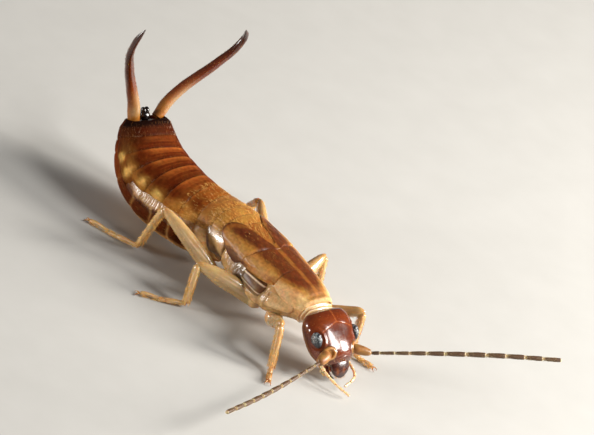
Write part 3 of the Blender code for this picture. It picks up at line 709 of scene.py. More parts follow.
def skin_grow(along, turn, folded=1.0):
    """Relief of the soft skin: folds between rings, side ridge of the abdomen, bulges at the hips."""
    side = from_midline(turn)
    down = np.clip(side - 75, 0, 15)
    crest = 0.0026 * down + 0.00020 * down * down
    wrinkles = 0.0
    for period, bend, size in ((0.052, 0.010, 0.6), (0.083, 0.020, 0.4)):
        sway = bend * np.sin(0.31 * side) + 0.4 * bend * np.sin(0.9 * side) + bend * np.sin(11 * along)
        wave = ((along + sway) / period) % 1
        wrinkles = wrinkles + size * period / 0.06 * np.where(wave < 0.8, 1 - wave / 0.8, (wave - 0.8) / 0.2)
    steep = 0.013 - 0.008 * step(along, 5.6, 6.2)
    crest = crest * (1 - 0.85 * step(along, 5.9, 6.5))
    crest = crest + steep * wrinkles * step(side, 74, 79) * step(along, 4.6, 5.0)
    grow = -0.075 + 0 * along * turn + step(along, 3.6, 4.6) * step(side, 104, 91) * crest
    for edge in ABDOMEN_EDGES[1:-1]:
        grow = grow - 0.030 * hump(along, edge + 0.02, 0.09) * step(side, 80, 95)
    thorax = 1 - step(along, 2.9, 3.4)
    for centre, lift in HIP_BULGES:
        grow = grow + lift * thorax * hump(along, centre, 0.56) * hump(side, 120, 44)
    for crease in (1.16, 3.05):
        grow = grow - 0.03 * hump(along, crease, 0.10) * step(side, 70, 95)
    folds = np.abs(wobble(along, turn, 7.0, 1.4)) + 0.5 * np.abs(wobble(along, turn, 15.0, 1.2, 2.0))
    return grow - 0.022 * folded * thorax * folds * step(side, 84, 96)


def skin_paint(along, turn):
    """Clear tan skin with painted brown shade on the thorax's sides and under the wing pads, browner on the
    belly's sides and dark at the tail, with a pale membrane and a painted highlight along the abdomen's side
    ridge.
    """
    side = from_midline(turn)
    blur = wobble(along, turn, 5.0, 1.3, 1.0)
    fine = wobble(along, turn, 14.0, 1.0, 5.0)
    flecks = wobble(6 * along, turn, 13.0, 1.0, 2.0)
    shade = np.clip(0.35 + 0.45 * fine + 0.4 * hump(along, 1.95, 0.5), 0, 1)
    # dim: painted shade on the skin low under the wing pads, between them and the legs, also made rougher
    dim = hump(along, 2.15, 0.75) * hump(side, 97, 20)
    ridge = step(along, 3.6, 4.6) * (step(side, 70, 76) * step(side, 98, 92))
    # A pale membrane band along the side ridge; its cream flecks are also a painted highlight
    pale_membrane_and_highlight = ridge * step(along, 4.9, 5.3) * step(along, 6.45, 5.7)
    colours = layered(
        mix(SKIN_TAN, PALE_TAN, 0.3 + 0.3 * blur),
        (OLIVE_TAN, shade * step(side, 84, 96) * step(along, 3.3, 2.9)),
        (mix(BAND_BROWN, OLIVE_TAN, 0.35 + 0.3 * fine), 0.75 * dim),
        (mix(OCHRE, BAND_BROWN, 0.50 + 0.25 * fine), 0.85 * ridge),
        (mix(OCHRE, CREAM, 0.45 + 0.55 * flecks), (0.50 + 0.25 * blur) * pale_membrane_and_highlight),
        (BAND_BROWN, 0.62 * step(side, 90, 96) * step(side, 136, 118) * step(along, 4.2, 4.8)),
        (mix(MAHOGANY, TAIL_BROWN, 0.45), 0.92 * belly_patch(along, turn)),
        (BAND_BROWN, 0.85 * step(along, 6.1, 6.6)), (TAIL_BROWN, 0.7 * step(along, 6.6, 7.3)),
        (BLACK_HORN, 0.95 * step(along, 7.6, 7.95)))
    wet = ridge * step(along, 6.6, 6.1)
    return with_gloss(colours, 1 - 0.30 * wet - 0.25 * step(along, 3.4, 2.9) + 0.9 * dim)


NECK_END = 0.12
SKIN_COLUMNS = 140


def build_skin():
    """One skin from the neck to the tail, under all the plates."""
    turn = turns(SKIN_COLUMNS)
    head_side, head_rise = oval(turn, 0.40, 0.17, 0.12, 2.2)
    head_ring = head_point(np.stack([head_side, 0.62 + 0 * turn, head_rise + 0.05], axis=-1))
    throat = trunk_surface(NECK_END, turn, skin_grow(NECK_END, turn))
    share = np.linspace(0, 1, 40, endpoint=False)[:, None]
    pleat = np.sin(share * 26 + 1.5 * np.sin(np.radians(2 * turn)) + 0.5 * np.sin(np.radians(7 * turn)))
    neck = head_ring * (1 - share[..., None]) + throat * share[..., None]
    middle = neck.mean(axis=1, keepdims=True)
    neck = middle + (neck - middle) * (1 + 0.06 * pleat)[..., None]
    rings = [np.linspace(*ends, 250, endpoint=False) for ends in ((NECK_END, 5.0), (5.0, 6.6))]
    along = np.concatenate(rings + [np.linspace(6.6, TRUNK_LENGTH - 0.05, 80)])[:, None]
    along, turn = np.broadcast_arrays(along, turn)
    tail = -0.30 * step(along, TRUNK_LENGTH - 0.10, TRUNK_LENGTH - 0.05)
    trunk = trunk_surface(along, turn, skin_grow(along, turn) + 0.6 * tail)
    # The pale neck membrane gets cream on the crests of its pleats, a painted highlight.
    neck_paint = with_gloss(mix(SKIN_TAN, CREAM, 0.25 + 0.75 * np.clip(pleat, 0, 1)), 0.4)
    shape = Shape()
    shape.tube(np.concatenate([neck, trunk]), np.concatenate([neck_paint, skin_paint(along, turn)]))
    piece = shape.make("skin", SOFT_SKIN, sharp=80)
    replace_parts(piece, "neck", "prothorax_underside", "mesothorax_underside", "metathorax_underside")


def side_plate(shape, sign, corners, rise, crest, paint, base=-0.055):
    """A shell plate on the trunk's flank between four (along, degrees from the mid-line) corners: front
    upper, rear upper, rear lower and front lower. It rises evenly to a crest line and falls off below it."""
    a, b = np.meshgrid(np.linspace(-1, 1, 44), np.linspace(-1, 1, 44), indexing="ij")
    x, y = a * np.sqrt(1 - 0.18 * b * b), b * np.sqrt(1 - 0.18 * a * a)
    u, v = 0.5 + 0.5 * x, 0.5 + 0.5 * y
    spot = sum(share[..., None] * np.array(corner, float) for share, corner in
               zip(((1 - u) * (1 - v), u * (1 - v), u * v, (1 - u) * v), corners))
    along, turn = spot[..., 0], 90 + sign * spot[..., 1]
    fall = np.clip(np.where(y < crest, (crest - y) / (crest + 1), (y - crest) / (1 - crest)), 0, 1)
    lift = np.where(y < crest, (1 - fall) ** 1.6, 1 - fall ** 2.6) * np.sqrt(np.clip(1 - a ** 8, 0, 1))
    height = np.maximum(skin_grow(along, turn, 0.0), base)
    shape.shell(trunk_surface(along, turn, height - 0.01 + rise * lift),
                trunk_surface(along, turn, height - 0.05), paint(np.maximum(np.abs(a), np.abs(b)), x, y))


def rear_side_paint(edge, x, y):
    """The glossy grey-tan plate behind the wing pads, with a painted pale highlight high on its front part
    and painted brown shade towards the abdomen.
    """
    # The pale band high on the plate's front part is a painted highlight; the brown towards its rear edge, by
    # the abdomen, is painted shade.
    colours = layered(mix(mix(GREY_BROWN, PALE_TAN, 0.74), OLIVE_TAN, 0.32 + 0.25 * np.sin(5 * x + 4 * y)),
                      (mix(PALE_TAN, GREY_BROWN, 0.1), 0.75 * hump(y, -0.25, 0.6) * step(x, 0.8, 0.3)),
                      (BAND_BROWN, 0.85 * step(x + 0.15 * np.sin(4 * y), 0.55, 0.95)),
                      (OLIVE_TAN, 0.5 * step(y, 0.25, 0.9)), (OLIVE_TAN, 0.35 * step(edge, 0.88, 1.0)))
    return with_gloss(colours, 1 + 0.8 * step(y, 0.2, 0.8))


def front_side_paint(edge, x, y):
    """The olive-brown plate under the first wing pad, with two thin painted cream highlights."""
    # Two thin cream stripes painted as highlights along the plate
    highlight_lines = 0.90 * hump(y + 0.05 * x, -0.36, 0.13) + 0.6 * hump(y + 0.1 * x, 0.50, 0.10)
    colours = layered(mix(OLIVE_TAN, BAND_BROWN, 0.65 + 0.25 * np.sin(6 * x + 3 * y)),
                      (SMOKE_BROWN, 0.4 * step(x, 0.5, 0.95)), (CREAM, highlight_lines),
                      (OLIVE_TAN, 0.6 * step(y, 0.6, 1.0)))
    return with_gloss(colours, 1.7)


def rimmed(first, second, share):
    """A paint that turns from the first colour towards the second at a plate's edge."""
    return lambda edge, x, y: mix(first, second, share * step(edge, 0.7, 1.0))


def build_sides():
    """Glossy side plates and breast plates of the thorax."""
    for side, sign in (("right", 1), ("left", -1)):
        shape = Shape()
        side_plate(shape, sign, ((0.28, 84), (1.02, 84), (0.98, 112), (0.30, 112)), 0.050, -0.1,
                   rimmed(PALE_TAN, WARM_OCHRE, 0.5))
        side_plate(shape, sign, ((3.02, 68), (3.84, 56), (3.66, 114), (2.98, 118)), 0.052, 0.0,
                   rear_side_paint, base=-0.005)
        shape.make(f"side_plates_{side}", GLOSS)
        shape = Shape()
        side_plate(shape, sign, ((1.22, 80), (2.06, 84), (1.96, 110), (1.18, 108)), 0.060, -0.5,
                   front_side_paint)
        shape.make(f"middle_side_plate_{side}", SHELL)
    shape = Shape()
    for front, rear in ((0.28, 0.96), (1.22, 1.94), (2.12, 2.92)):
        side_plate(shape, 1, ((front, 153), (rear, 153), (rear, 207), (front, 207)), 0.05, 0.0,
                   rimmed(OCHRE, WARM_OCHRE, 1.0))
    shape.make("breast_plates", SHELL)


def top_side(z):
    """1 on the head's upper side, 0 on its sides and underside."""
    return step(z, 0.0, 0.12)


def socket_gap(x, y, z):
    """Distance from the nearer feeler's socket, in the head's frame."""
    px, py, pz = SOCKET_PLACE
    return np.sqrt((np.abs(x) - px) ** 2 + (y - py) ** 2 + 0.5 * (z - pz) ** 2)


def eye_gap(x, y, z, sizes):
    """Distance from the nearer eye's middle as a share of the given half sizes."""
    return np.sqrt(sum(((v - c) / size) ** 2 for v, c, size in zip((np.abs(x), y, z), EYE_PLACE, sizes)))


def head_sutures(x, y, z):
    """The pale Y-shaped line on the crown: 1 on the line, 0 beside it."""
    ax = np.abs(x)
    stem = hump(ax, 0.0, 0.022) * step(y, 0.40, 0.47)
    arms = hump(y, 0.45 - 0.34 * ax - 0.10 * ax * ax, 0.024) * step(ax, 0.56, 0.50)
    return np.maximum(stem, arms) * top_side(z)


def head_relief(x, y, z):
    """Lift of the head's surface: sutures, swellings, feeler sockets, eye rims and cheeks."""
    ax, top, socket = np.abs(x), step(z, 0.0, 0.15), socket_gap(x, y, z)
    lift = 0.022 * hump(ax, 0.34, 0.34) * hump(y, 0.45, 0.42) * top
    lift += 0.012 * hump(ax, 0.0, 0.40) * hump(y, -0.30, 0.45) * top
    lift -= 0.003 * head_sutures(x, y, z)
    lift += 0.030 * hump(socket, 0.155, 0.055) - 0.045 * step(socket, 0.13, 0.08)
    lift += 0.020 * hump(eye_gap(x, y, z, (0.2, 0.29, 0.25)), 1.02, 0.28)
    lift -= 0.010 * hump(y + 0.35 * ax * ax, -0.47, 0.035) * top
    return lift + 0.002 * np.sin(7 * x + 3) * np.sin(9 * y) * top


def head_paint(x, y, z):
    """Glossy red-brown head: darker brow, pale sutures, amber sockets and tan cheeks."""
    ax, socket = np.abs(x), socket_gap(x, y, z)
    blur = wobble(2.2 * y, 90 + 60 * x, 4.0, 1.6, 0.4)
    fine = wobble(5.0 * y, 200 * x, 7.0, 1.0, 2.4)
    red = np.clip(0.25 + 0.30 * blur + 0.5 * hump(ax, 0.42, 0.25) * hump(y, 0.35, 0.35), 0, 1)
    brow = hump(y, 0.16, 0.36) * (1 - 0.75 * step(ax, 0.22, 0.50))
    return layered(mix(HEAD_RED, RED_BROWN, red), (HEAD_DARK, (0.80 + 0.15 * fine) * brow),
                   (HEAD_DARK, 0.40 * step(y + 0.04 * blur, 0.52, 0.78)),
                   (HEAD_DARK, 0.45 * hump(y, -0.22, 0.30) * step(ax, 0.42, 0.2)),
                   (HEAD_DARK, 0.65 * step(y, -0.40, -0.54) * top_side(z)),
                   (LIMB_AMBER, 0.85 * step(socket, 0.24, 0.16)), (HEAD_DARK, 0.8 * hump(socket, 0.21, 0.05)),
                   (mix(HEAD_RED, PALE_TAN, 0.45), 0.8 * step(z, 0.02, -0.16)),
                   (RIM_ORANGE, 0.6 * head_sutures(x, y, z)))


def head_oval(turn, y, close=1.0):
    """Places on the head's cross-section at y, drawn in by close."""
    stations = (HEAD_HALF_WIDTHS, HEAD_HEIGHTS, HEAD_DEPTHS)
    return oval(turn, *[smooth_value(HEAD_PLACES, values, y) * close for values in stations], HEAD_ROUNDNESS)


def build_head():
    """The head capsule with its relief, and the eyes."""
    ends = 0.5 - 0.5 * np.cos(np.linspace(0, math.pi, 190))
    y = (HEAD_PLACES[0] + (HEAD_PLACES[-1] + 0.03 - HEAD_PLACES[0]) * ends)[:, None]
    close = np.sqrt(np.clip(1 - np.clip((y - 0.76) / 0.11, 0, 1) ** 2, 0.02, 1))
    x, z = head_oval(turns(240)[None, :], y, close)
    y = y + 0 * x
    lift = 1 + head_relief(x, y, z) / (np.hypot(x, z) + 1e-9)
    shape = Shape()
    shape.tube(head_point(np.stack([x * lift, y, z * lift], axis=-1)), head_paint(x, y, z))
    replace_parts(shape.make("head_capsule", HEAD_SHELL, sharp=80), "head")

    for side, sign in (("left", 1), ("right", -1)):
        ball = unit_ball(60, 90)
        across = ball[..., 1]
        for axis, pinch in ((0, 0.16), (2, 0.26)):
            ball[..., axis] *= 1 - pinch * step(across, 0.2, -1.0)
        down = ball[..., 2]
        cells = np.sin(12 * across + 4 * np.sin(5 * down + 1))
        cells = cells * np.sin(12 * down + 4 * np.sin(5 * across) + 3 * ball[..., 0])
        # Pale speckles are painted glints on the facets, kept to the eye's rear part; the eye is darker
        # towards its front and lower side.
        paint = layered(EYE_BLUE, (BLACK_HORN, 0.85 * np.clip(-2.0 * cells, 0, 1)),
                        (EYE_GLINT, 0.95 * np.clip(2.4 * cells - 0.6, 0, 1) * step(across, -0.8, 0.3)),
                        (BLACK_HORN, 0.75 * step(across + 0.3 * down, -0.25, -0.85)))
        shape = Shape()
        shape.tube(head_point(ball * EYE_RADII + np.array(EYE_PLACE) * (sign, 1, 1)), paint)
        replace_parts(shape.make(f"facets_{side}", EYE, sharp=80), f"eye_{side}")


def tongue(shape, places, half_widths, tops, lows, paint):
    """A flat lobe in the head's frame, through stations from root to tip, closed round its end."""
    share = np.linspace(0, 1, 40)[:, None]
    y = places[0] + (places[-1] - places[0]) * np.sin(share * math.pi / 2)
    tip = np.sqrt(np.clip(1 - ((y - places[0]) / (places[-1] - places[0])) ** 8, 0.0009, 1))
    width, top, low = [smooth_value(places[::-1], values[::-1], y) for values in (half_widths, tops, lows)]
    x, z = oval(turns(60)[None, :], width * tip, (top - low) / 2 * tip, (top - low) / 2 * tip, 2.4)
    y = y + 0 * x
    shape.tube(head_point(np.stack([x, y, z + (top + low) / 2], axis=-1)), paint(x, y))


def labrum_paint(x, y):
    """The dark upper lip with orange streaks."""
    streaks = 0.5 * np.abs(np.sin(14 * x + 3 * y)) ** 5 * hump(y, -0.84, 0.14)
    return layered(HEAD_DARK, (RIM_ORANGE, streaks), (BLACK_HORN, 0.35 + 0.3 * step(y, -0.90, -0.99)))


def hook(shape, marks, places, radii, flat, first, second, turn_from, turn_to, rows, cols):
    """A tapering hook on a smooth line, of one colour at its root and another at its tip."""
    share = np.linspace(0, 1, rows)
    high = smooth_value(places, radii, share)
    colours = mix(first, second, step(share, turn_from, turn_to))[:, None, :] + np.zeros((1, cols, 1))
    sweep(shape, through(marks, rows), high, high * flat, colours, cols=cols)


JAW = ((0.30, -0.58, -0.06), (0.31, -0.74, -0.08), (0.24, -0.90, -0.09), (0.09, -0.985, -0.10))
LIP_PALP = ((0.17, -0.60, -0.34), (0.24, -0.73, -0.34), (0.20, -0.86, -0.30))


def build_mouth():
    """Upper lip, two jaws, and the lower lip with its short palps."""
    shape = Shape()
    tongue(shape, (-0.54, -0.70, -0.86, -1.01), (0.34, 0.33, 0.28, 0.16), (0.285, 0.245, 0.18, 0.09),
           (0.03, 0.03, 0.025, 0.03), labrum_paint)
    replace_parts(shape.make("labrum", HEAD_SHELL, sharp=80), "upper_lip")
    for side, sign in (("left", 1), ("right", -1)):
        shape = Shape()
        marks = head_point(np.array(JAW) * (sign, 1, 1))
        hook(shape, marks, (0, 0.3, 0.75, 1), (0.075, 0.075, 0.045, 0.008), 0.8, HEAD_RED, BLACK_HORN,
             0.35, 0.8, 40, 24)
        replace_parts(shape.make(f"mandible_{side}", HORN, sharp=80), f"jaw_{side}")
    shape = Shape()
    tongue(shape, (-0.36, -0.50, -0.66, -0.80), (0.29, 0.28, 0.25, 0.16), (-0.30, -0.31, -0.29, -0.26),
           (-0.46, -0.44, -0.38, -0.32), lambda x, y: mix(SKIN_TAN, WARM_OCHRE, step(y, -0.5, -0.8)))
    for sign in (1, -1):
        marks = head_point(np.array(LIP_PALP) * (sign, 1, 1))
        jointed(shape, marks, (0, 0.3, 0.62, 1.0), (0.038, 0.040, 0.036), LIMB_TAN, LIMB_AMBER,
                rows=14, cols=16)
    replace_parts(shape.make("labium", SOFT_SKIN, sharp=80), "lower_lip")


def through(marks, count):
    """Evenly spread places on a smooth line through a few marks."""
    marks = np.array(marks, float)
    lengths = np.concatenate([[0], np.cumsum(np.linalg.norm(np.diff(marks, axis=0), axis=1))])
    reach = np.linspace(0, lengths[-1], count)
    return np.stack([smooth_value(lengths, marks[:, k], reach) for k in range(3)], axis=1)


def ring_axes(path):
    """Three directions at each point of a path: across it and nearest to up, across it sideways, along it."""
    along = unit(np.gradient(path, axis=0))
    across = unit(np.cross(along, (0.0, 0.0, 1.0)))
    return np.cross(across, along), across, along


def sweep(shape, path, high, wide, paint, cols=24, roundness=2.0):
    """A closed limb along a path; high and wide are its half sizes across, at each point."""
    upward, across = ring_axes(path)[:2]
    side, rise = oval(turns(cols)[None, :], wide[:, None], high[:, None], high[:, None], roundness)
    offset = upward[:, None, :] * rise[..., None] + across[:, None, :] * side[..., None]
    shape.tube(path[:, None, :] + offset, paint)


def rounded(count, near_end, far_end):
    """Shares along a limb, close together at its ends, with the rounding of its ends there."""
    share = 0.5 - 0.5 * np.cos(np.linspace(0, math.pi, count))
    near, far = np.clip(share / near_end, 0, 1), np.clip((1 - share) / far_end, 0, 1)
    return share, np.sqrt(np.clip((1 - (1 - near) ** 2) * (1 - (1 - far) ** 2), 0.0004, 1))


def jointed(shape, marks, joints, radii, colour, ring, rows=18, cols=20, waist=0.72):
    """A row of short joints on a smooth line, each narrower and paler where it meets the next."""
    line = through(marks, 400)
    share, cap = rounded(rows, 0.10, 0.10)
    swell = waist + (1 - waist) * smooth_value((0, 0.35, 0.8, 1), (0, 0.75, 1, 0.75), share)
    pale = np.maximum(step(share, 0.14, 0.04), step(share, 0.90, 0.97))
    paint = mix(colour, ring, 0.9 * pale)[:, None, :] + np.zeros((1, cols, 1))
    for start, end, radius in zip(joints, joints[1:], radii):
        low, high = max(start - 0.012 * (end - start), 0.0), min(end + 0.012 * (end - start), 1.0)
        path = read_rows((low + (high - low) * share) * 399, np.arange(400), line)
        sweep(shape, path, radius * swell * cap, radius * swell * cap, paint, cols=cols)


WHIP_RADII = (0.050, 0.046, 0.050, 0.057, 0.063, 0.067, 0.069, 0.068, 0.067, 0.064, 0.056)


def build_feelers():
    """Antennae with a stout scape, a small second joint and a ringed whip; and the mouth palps."""
    for side, marks in ANTENNAE.items():
        marks = np.array(marks)
        share, cap = rounded(40, 0.10, 0.16)
        path = marks[0] + (marks[1] - marks[0]) * (share * 1.04)[:, None]
        radius = smooth_value((0, 0.15, 0.5, 0.8, 1), (0.11, 0.145, 0.150, 0.120, 0.085), share) * cap
        radius = radius * (0.86 if side == "left" else 1.0)
        rings = np.sin(11 * share)[:, None] * np.sin(np.radians(np.linspace(0, 1080, 30)))[None, :]
        paint = mix(mix(LIMB_AMBER, RED_BROWN, 0.3), GREY_BROWN, 0.5 * step(share, 0.75, 1.0))[:, None, :]
        shape = Shape()
        sweep(shape, path, radius, radius, mix(paint, HEAD_DARK, 0.22 + 0.2 * rings), cols=30)
        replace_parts(shape.make(f"scape_{side}", SHELL, sharp=80), f"antenna_{side}_root")
        shape = Shape()
        jointed(shape, marks[1:], WHIP_JOINTS, WHIP_RADII, FEELER_GREY, FEELER_RING, rows=26, cols=26)
        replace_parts(shape.make(f"flagellum_{side}", FEELER, sharp=80), f"antenna_{side}_whip")
    for side, marks in PALPS.items():
        shape = Shape()
        jointed(shape, marks, (0.10, 0.30, 0.44, 0.64, 0.83, 1.0), (0.046, 0.042, 0.038, 0.035, 0.030),
                mix(LIMB_TAN, CREAM, 0.5), LIMB_AMBER, rows=24, cols=22, waist=0.8)
        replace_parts(shape.make(f"maxillary_palp_{side}", LIMB_SHELL, sharp=80), f"palp_{side}")


def limb_piece(shape, start, end, places, radii, flat, colour, joint=LIMB_AMBER, rows=56, cols=36, bow=0.0,
               blunt=0.06):
    """One limb joint: a spindle through a few radii, a little bowed, darker at its ends, with painted olive
    shade on its flanks and painted cream highlight streaks.
    """
    share, cap = rounded(rows, blunt, blunt)
    path = start + (end - start) * share[:, None]
    path = path + ring_axes(path)[0] * (bow * np.sin(share * math.pi))[:, None]
    radius = smooth_value(places, radii, share) * cap
    share, turn = share[:, None], np.radians(turns(cols))[None, :]
    ends = np.maximum(step(share, 0.10, 0.0), step(share, 0.88, 0.99))
    # Painted olive shade on the limb's two flanks, strongest half-way along
    flank_shade = np.abs(np.cos(turn)) ** 3 * hump(share, 0.5, 0.45)
    grain = 0.5 + 0.5 * np.sin(3 * turn + 1.2) * np.sin(9 * share + 0.8)
    upward = np.sin(turn)
    # Cream streaks painted as highlights along the limb's middle, on its upper flanks and fainter at its
    # sides
    line = hump(upward, 0.55 + 0.10 * np.sin(8 * share), 0.18) + 0.6 * hump(upward, 0.05 + 0.1 * share, 0.12)
    paint = layered(colour, (joint, 0.70 * ends + 0 * turn),
                    (joint, 0.28 * (np.abs(upward) ** 4 * step(share, 0.05, 0.2))),
                    (OLIVE_TAN, 0.34 * flank_shade + 0.15 * grain), (CREAM, 0.9 * line * hump(share, 0.42, 0.42)))
    sweep(shape, path, radius, radius * flat, paint, cols=cols)


def build_legs():
    """Six legs: coxa, trochanter and femur, tibia, and a foot of three joints and two claws."""
    for name, marks in LEGS.items():
        root, hip, knee, heel, claws = [np.array(mark) for mark in marks]
        pair = name.split("_")[0]
        thick = THIGH_RADII[pair]
        size = 1.15 if name == "middle_right" else {"front": 0.82, "middle": 1.0, "hind": 0.92}[pair]
        shape = Shape()
        limb_piece(shape, root, hip + 0.16 * unit(hip - root), (0, 0.4, 0.8, 1),
                   size * np.array((0.29, 0.29, 0.25, 0.20)), 1.0, mix(SKIN_TAN, PALE_TAN, 0.5),
                   rows=50, blunt=0.42)
        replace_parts(shape.make(f"coxa_{name}", LIMB_SHELL, sharp=80), f"leg_{name}_hip")

        shape = Shape()
        thigh = unit(knee - hip)
        limb_piece(shape, hip - 0.08 * thigh, hip + 0.30 * thigh, (0, 0.5, 1),
                   thick * np.array((0.62, 0.70, 0.60)), 0.95, LIMB_TAN, rows=30, blunt=0.3)
        inside = 0.28 if pair == "middle" else 0.06
        limb_piece(shape, hip - inside * thigh, knee + 0.05 * thigh, (0, 0.12, 0.36, 0.72, 0.92, 1),
                   (0.86 * thick, 0.96 * thick, thick, 0.84 * thick, 0.128, 0.095), 0.84,
                   mix(LIMB_TAN, OLIVE_TAN, 0.42), rows=80, bow=0.03, blunt=0.12)
        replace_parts(shape.make(f"femur_{name}", LIMB_SHELL, sharp=80), f"leg_{name}_femur")

        shape = Shape()
        limb_piece(shape, knee, heel, (0, 0.08, 0.25, 0.75, 0.93, 1),
                   (0.075, 0.105, 0.100, 0.088, 0.092, 0.07), 0.88, mix(LIMB_TAN, OLIVE_TAN, 0.30),
                   rows=70, bow=0.03)
        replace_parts(shape.make(f"shank_{name}", LIMB_SHELL, sharp=80), f"leg_{name}_tibia")
        build_foot(name, heel, claws)


# A claw's line: ahead of the foot's end, out to its side and up
CLAW = ((0, 0, 0), (0.07, 0.05, 0.01), (0.13, 0.085, -0.025), (0.145, 0.08, -0.068))


def build_foot(name, heel, claws):
    """Three foot joints that lie on the floor, the last arched, and two hooked claws."""
    shape = Shape()
    flat = unit((claws - heel) * (1, 1, 0))
    beside = np.array((-flat[1], flat[0], 0.0))

    def spot(share, height):
        return (heel + (claws - heel) * share) * (1, 1, 0) + (0, 0, height)

    joints = ((spot(-0.02, 0.15), spot(0.42, 0.070), (0, 0.3, 0.85, 1), (0.062, 0.060, 0.068, 0.050), 0.02),
              (spot(0.40, 0.070), spot(0.58, 0.058), (0, 0.6, 1), (0.045, 0.064, 0.050), 0.0),
              (spot(0.56, 0.066), spot(0.96, 0.075), (0, 0.5, 0.9, 1), (0.040, 0.048, 0.056, 0.045), 0.045))
    for start, end, places, radii, bow in joints:
        limb_piece(shape, start, end, places, radii, 0.95, mix(LIMB_TAN, LIMB_AMBER, 0.40), WARM_OCHRE,
                   rows=36, cols=24, bow=bow)
    for sign in (1, -1):
        marks = [spot(0.95, 0.070) + flat * ahead + beside * sign * aside + (0, 0, up)
                 for ahead, aside, up in CLAW]
        hook(shape, marks, (0, 0.5, 1), (0.024, 0.017, 0.002), 1.0, LIMB_AMBER, TAIL_BROWN, 0.3, 1.0, 24, 12)
    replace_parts(shape.make(f"tarsus_{name}", LIMB_SHELL, sharp=80), f"leg_{name}_foot")


def blade_line(side, count):
    """The middle line of one forceps blade."""
    root = TRUNK_LENGTH + BLADE_START
    return through([trunk_point(root + beyond, out, rise) for out, beyond, rise in BLADES[side]], count)


# Where round each blade its painted pale highlight streak lies, in radians, and how far along it the streak
# goes; the opposite side is painted darker as shade
HIGHLIGHT_SIDES = {"right": 2.5, "left": -0.3}
HIGHLIGHT_ENDS = {"right": 0.34, "left": 0.44}
BLADE_SHARES = (0.0, 0.05, 0.12, 0.30, 0.55, 0.80, 0.93, 1.0)
BLADE_HALF_SIZES = (0.170, 0.178, 0.170, 0.150, 0.132, 0.100, 0.066, 0.010)
# Balls of the tail knob: distance past the trunk, to the left and up, with its half sizes in that order
KNOBS = (((0.08, 0.0, 0.0), (0.16, 0.15, 0.13)), ((0.22, 0.06, 0.02), (0.09, 0.07, 0.08)),
         ((0.22, -0.06, 0.02), (0.09, 0.07, 0.08)), ((0.20, 0.0, -0.06), (0.10, 0.08, 0.06)))


def build_forceps():
    """Two slender curved blades, amber at the root and dark at the tip, each with a painted pale highlight
    streak on one side near its root and painted shade along the other side, and the plate between them.
    """
    for side in BLADES:
        path = blade_line(side, 130)
        path = np.concatenate([path[:1] - unit(path[1] - path[0]) * 0.14, path])
        share = np.linspace(0, 1, len(path))
        radius = smooth_value(BLADE_SHARES, BLADE_HALF_SIZES, share)
        colours = layered(mix(WARM_OCHRE, RED_BROWN, 0.2 + 0.8 * step(share, 0.03, 0.22)),
                          (MAHOGANY, 0.85 * step(share, 0.24, 0.50)),
                          (TAIL_BROWN, 0.85 * step(share, 0.50, 0.78)),
                          (BLACK_HORN, 0.5 * step(share, 0.80, 1.0)))
        # ahead is 1 on the side of the painted highlight streak; the opposite side gets painted shade
        ahead = 0.5 + 0.5 * np.cos(np.radians(turns(40))[None, :] - HIGHLIGHT_SIDES[side])
        lower = (step(share, 0.01, 0.05) * step(share, HIGHLIGHT_ENDS[side], 0.14))[:, None]
        colours = layered(colours[:, None, :], (TAIL_BROWN, 0.72 * (1 - ahead) ** 2),
                          (mix(PALE_TAN, OLIVE_TAN, 0.72), 0.85 * ahead ** 4 * lower))
        shape = Shape()
        sweep(shape, path, radius, radius * 0.9, colours, cols=40, roundness=2.15)
        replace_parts(shape.make(f"blade_{side}", HORN, sharp=80), f"forceps_{side}")
    shape = Shape()
    ball = unit_ball(30, 40)
    for (beyond, out, rise), sizes in KNOBS:
        back, side, up = ball[..., 1] * sizes[0], ball[..., 0] * sizes[1], ball[..., 2] * sizes[2]
        shape.tube(trunk_point(TRUNK_LENGTH + beyond + back, out + side, rise + up), BLACK_HORN)
    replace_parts(shape.make("pygidium", HORN, sharp=80), "tail_knob")


SEED = 11
DRAW = np.random.default_rng(SEED)
PATCH = 0.003
HAIR_POINTS = 10


def add_hairs(coat, roots, normals, leans, scatter, length, width, spots, colour=HAIR_GOLD, curl=0.35):
    """Thin curved spikes at the given roots, leaning along leans with some scatter, each with its own patch
    of the map."""
    count = len(roots)
    leans = unit(leans + DRAW.normal(0, scatter, (count, 3)))
    lengths = length * DRAW.uniform(0.6, 1.2, count)
    widths = width * DRAW.uniform(0.7, 1.2, count)
    normals = unit(normals)
    across = unit(np.cross(normals, leans))
    rings, patches = [], []
    for level in (0.0, 0.34, 0.68):
        centre = roots + lengths[:, None] * (leans * level - normals * curl * level * level)
        for corner in range(3):
            angle = 2 * math.pi * corner / 3
            offset = across * math.cos(angle) + normals * math.sin(angle)
            rings.append(centre + offset * (widths * (1 - 0.8 * level))[:, None])
            patches.append(spots + PATCH * np.array([corner / 3, level]))
    points = np.stack(rings + [roots + lengths[:, None] * (leans - normals * curl)], axis=1)
    patches = np.stack(patches + [spots + PATCH * np.array([0.33, 1.0])], axis=1)
    faces = [(2, 1, 0)]
    for a, b in ((0, 1), (1, 2), (2, 0), (3, 4), (4, 5), (5, 3)):
        faces += [(a, b, b + 3), (a, b + 3, a + 3)]
    faces += [(6, 7, 9), (7, 8, 9), (8, 6, 9)]
    triangles = (np.array(faces)[None] + np.arange(count)[:, None, None] * HAIR_POINTS).reshape(-1, 3)
    shades = np.repeat((colour * DRAW.uniform(0.75, 1.15, (count, 1)))[:, None, :], HAIR_POINTS, axis=1)
    coat.add(points, shades, triangles=triangles, patches=patches)


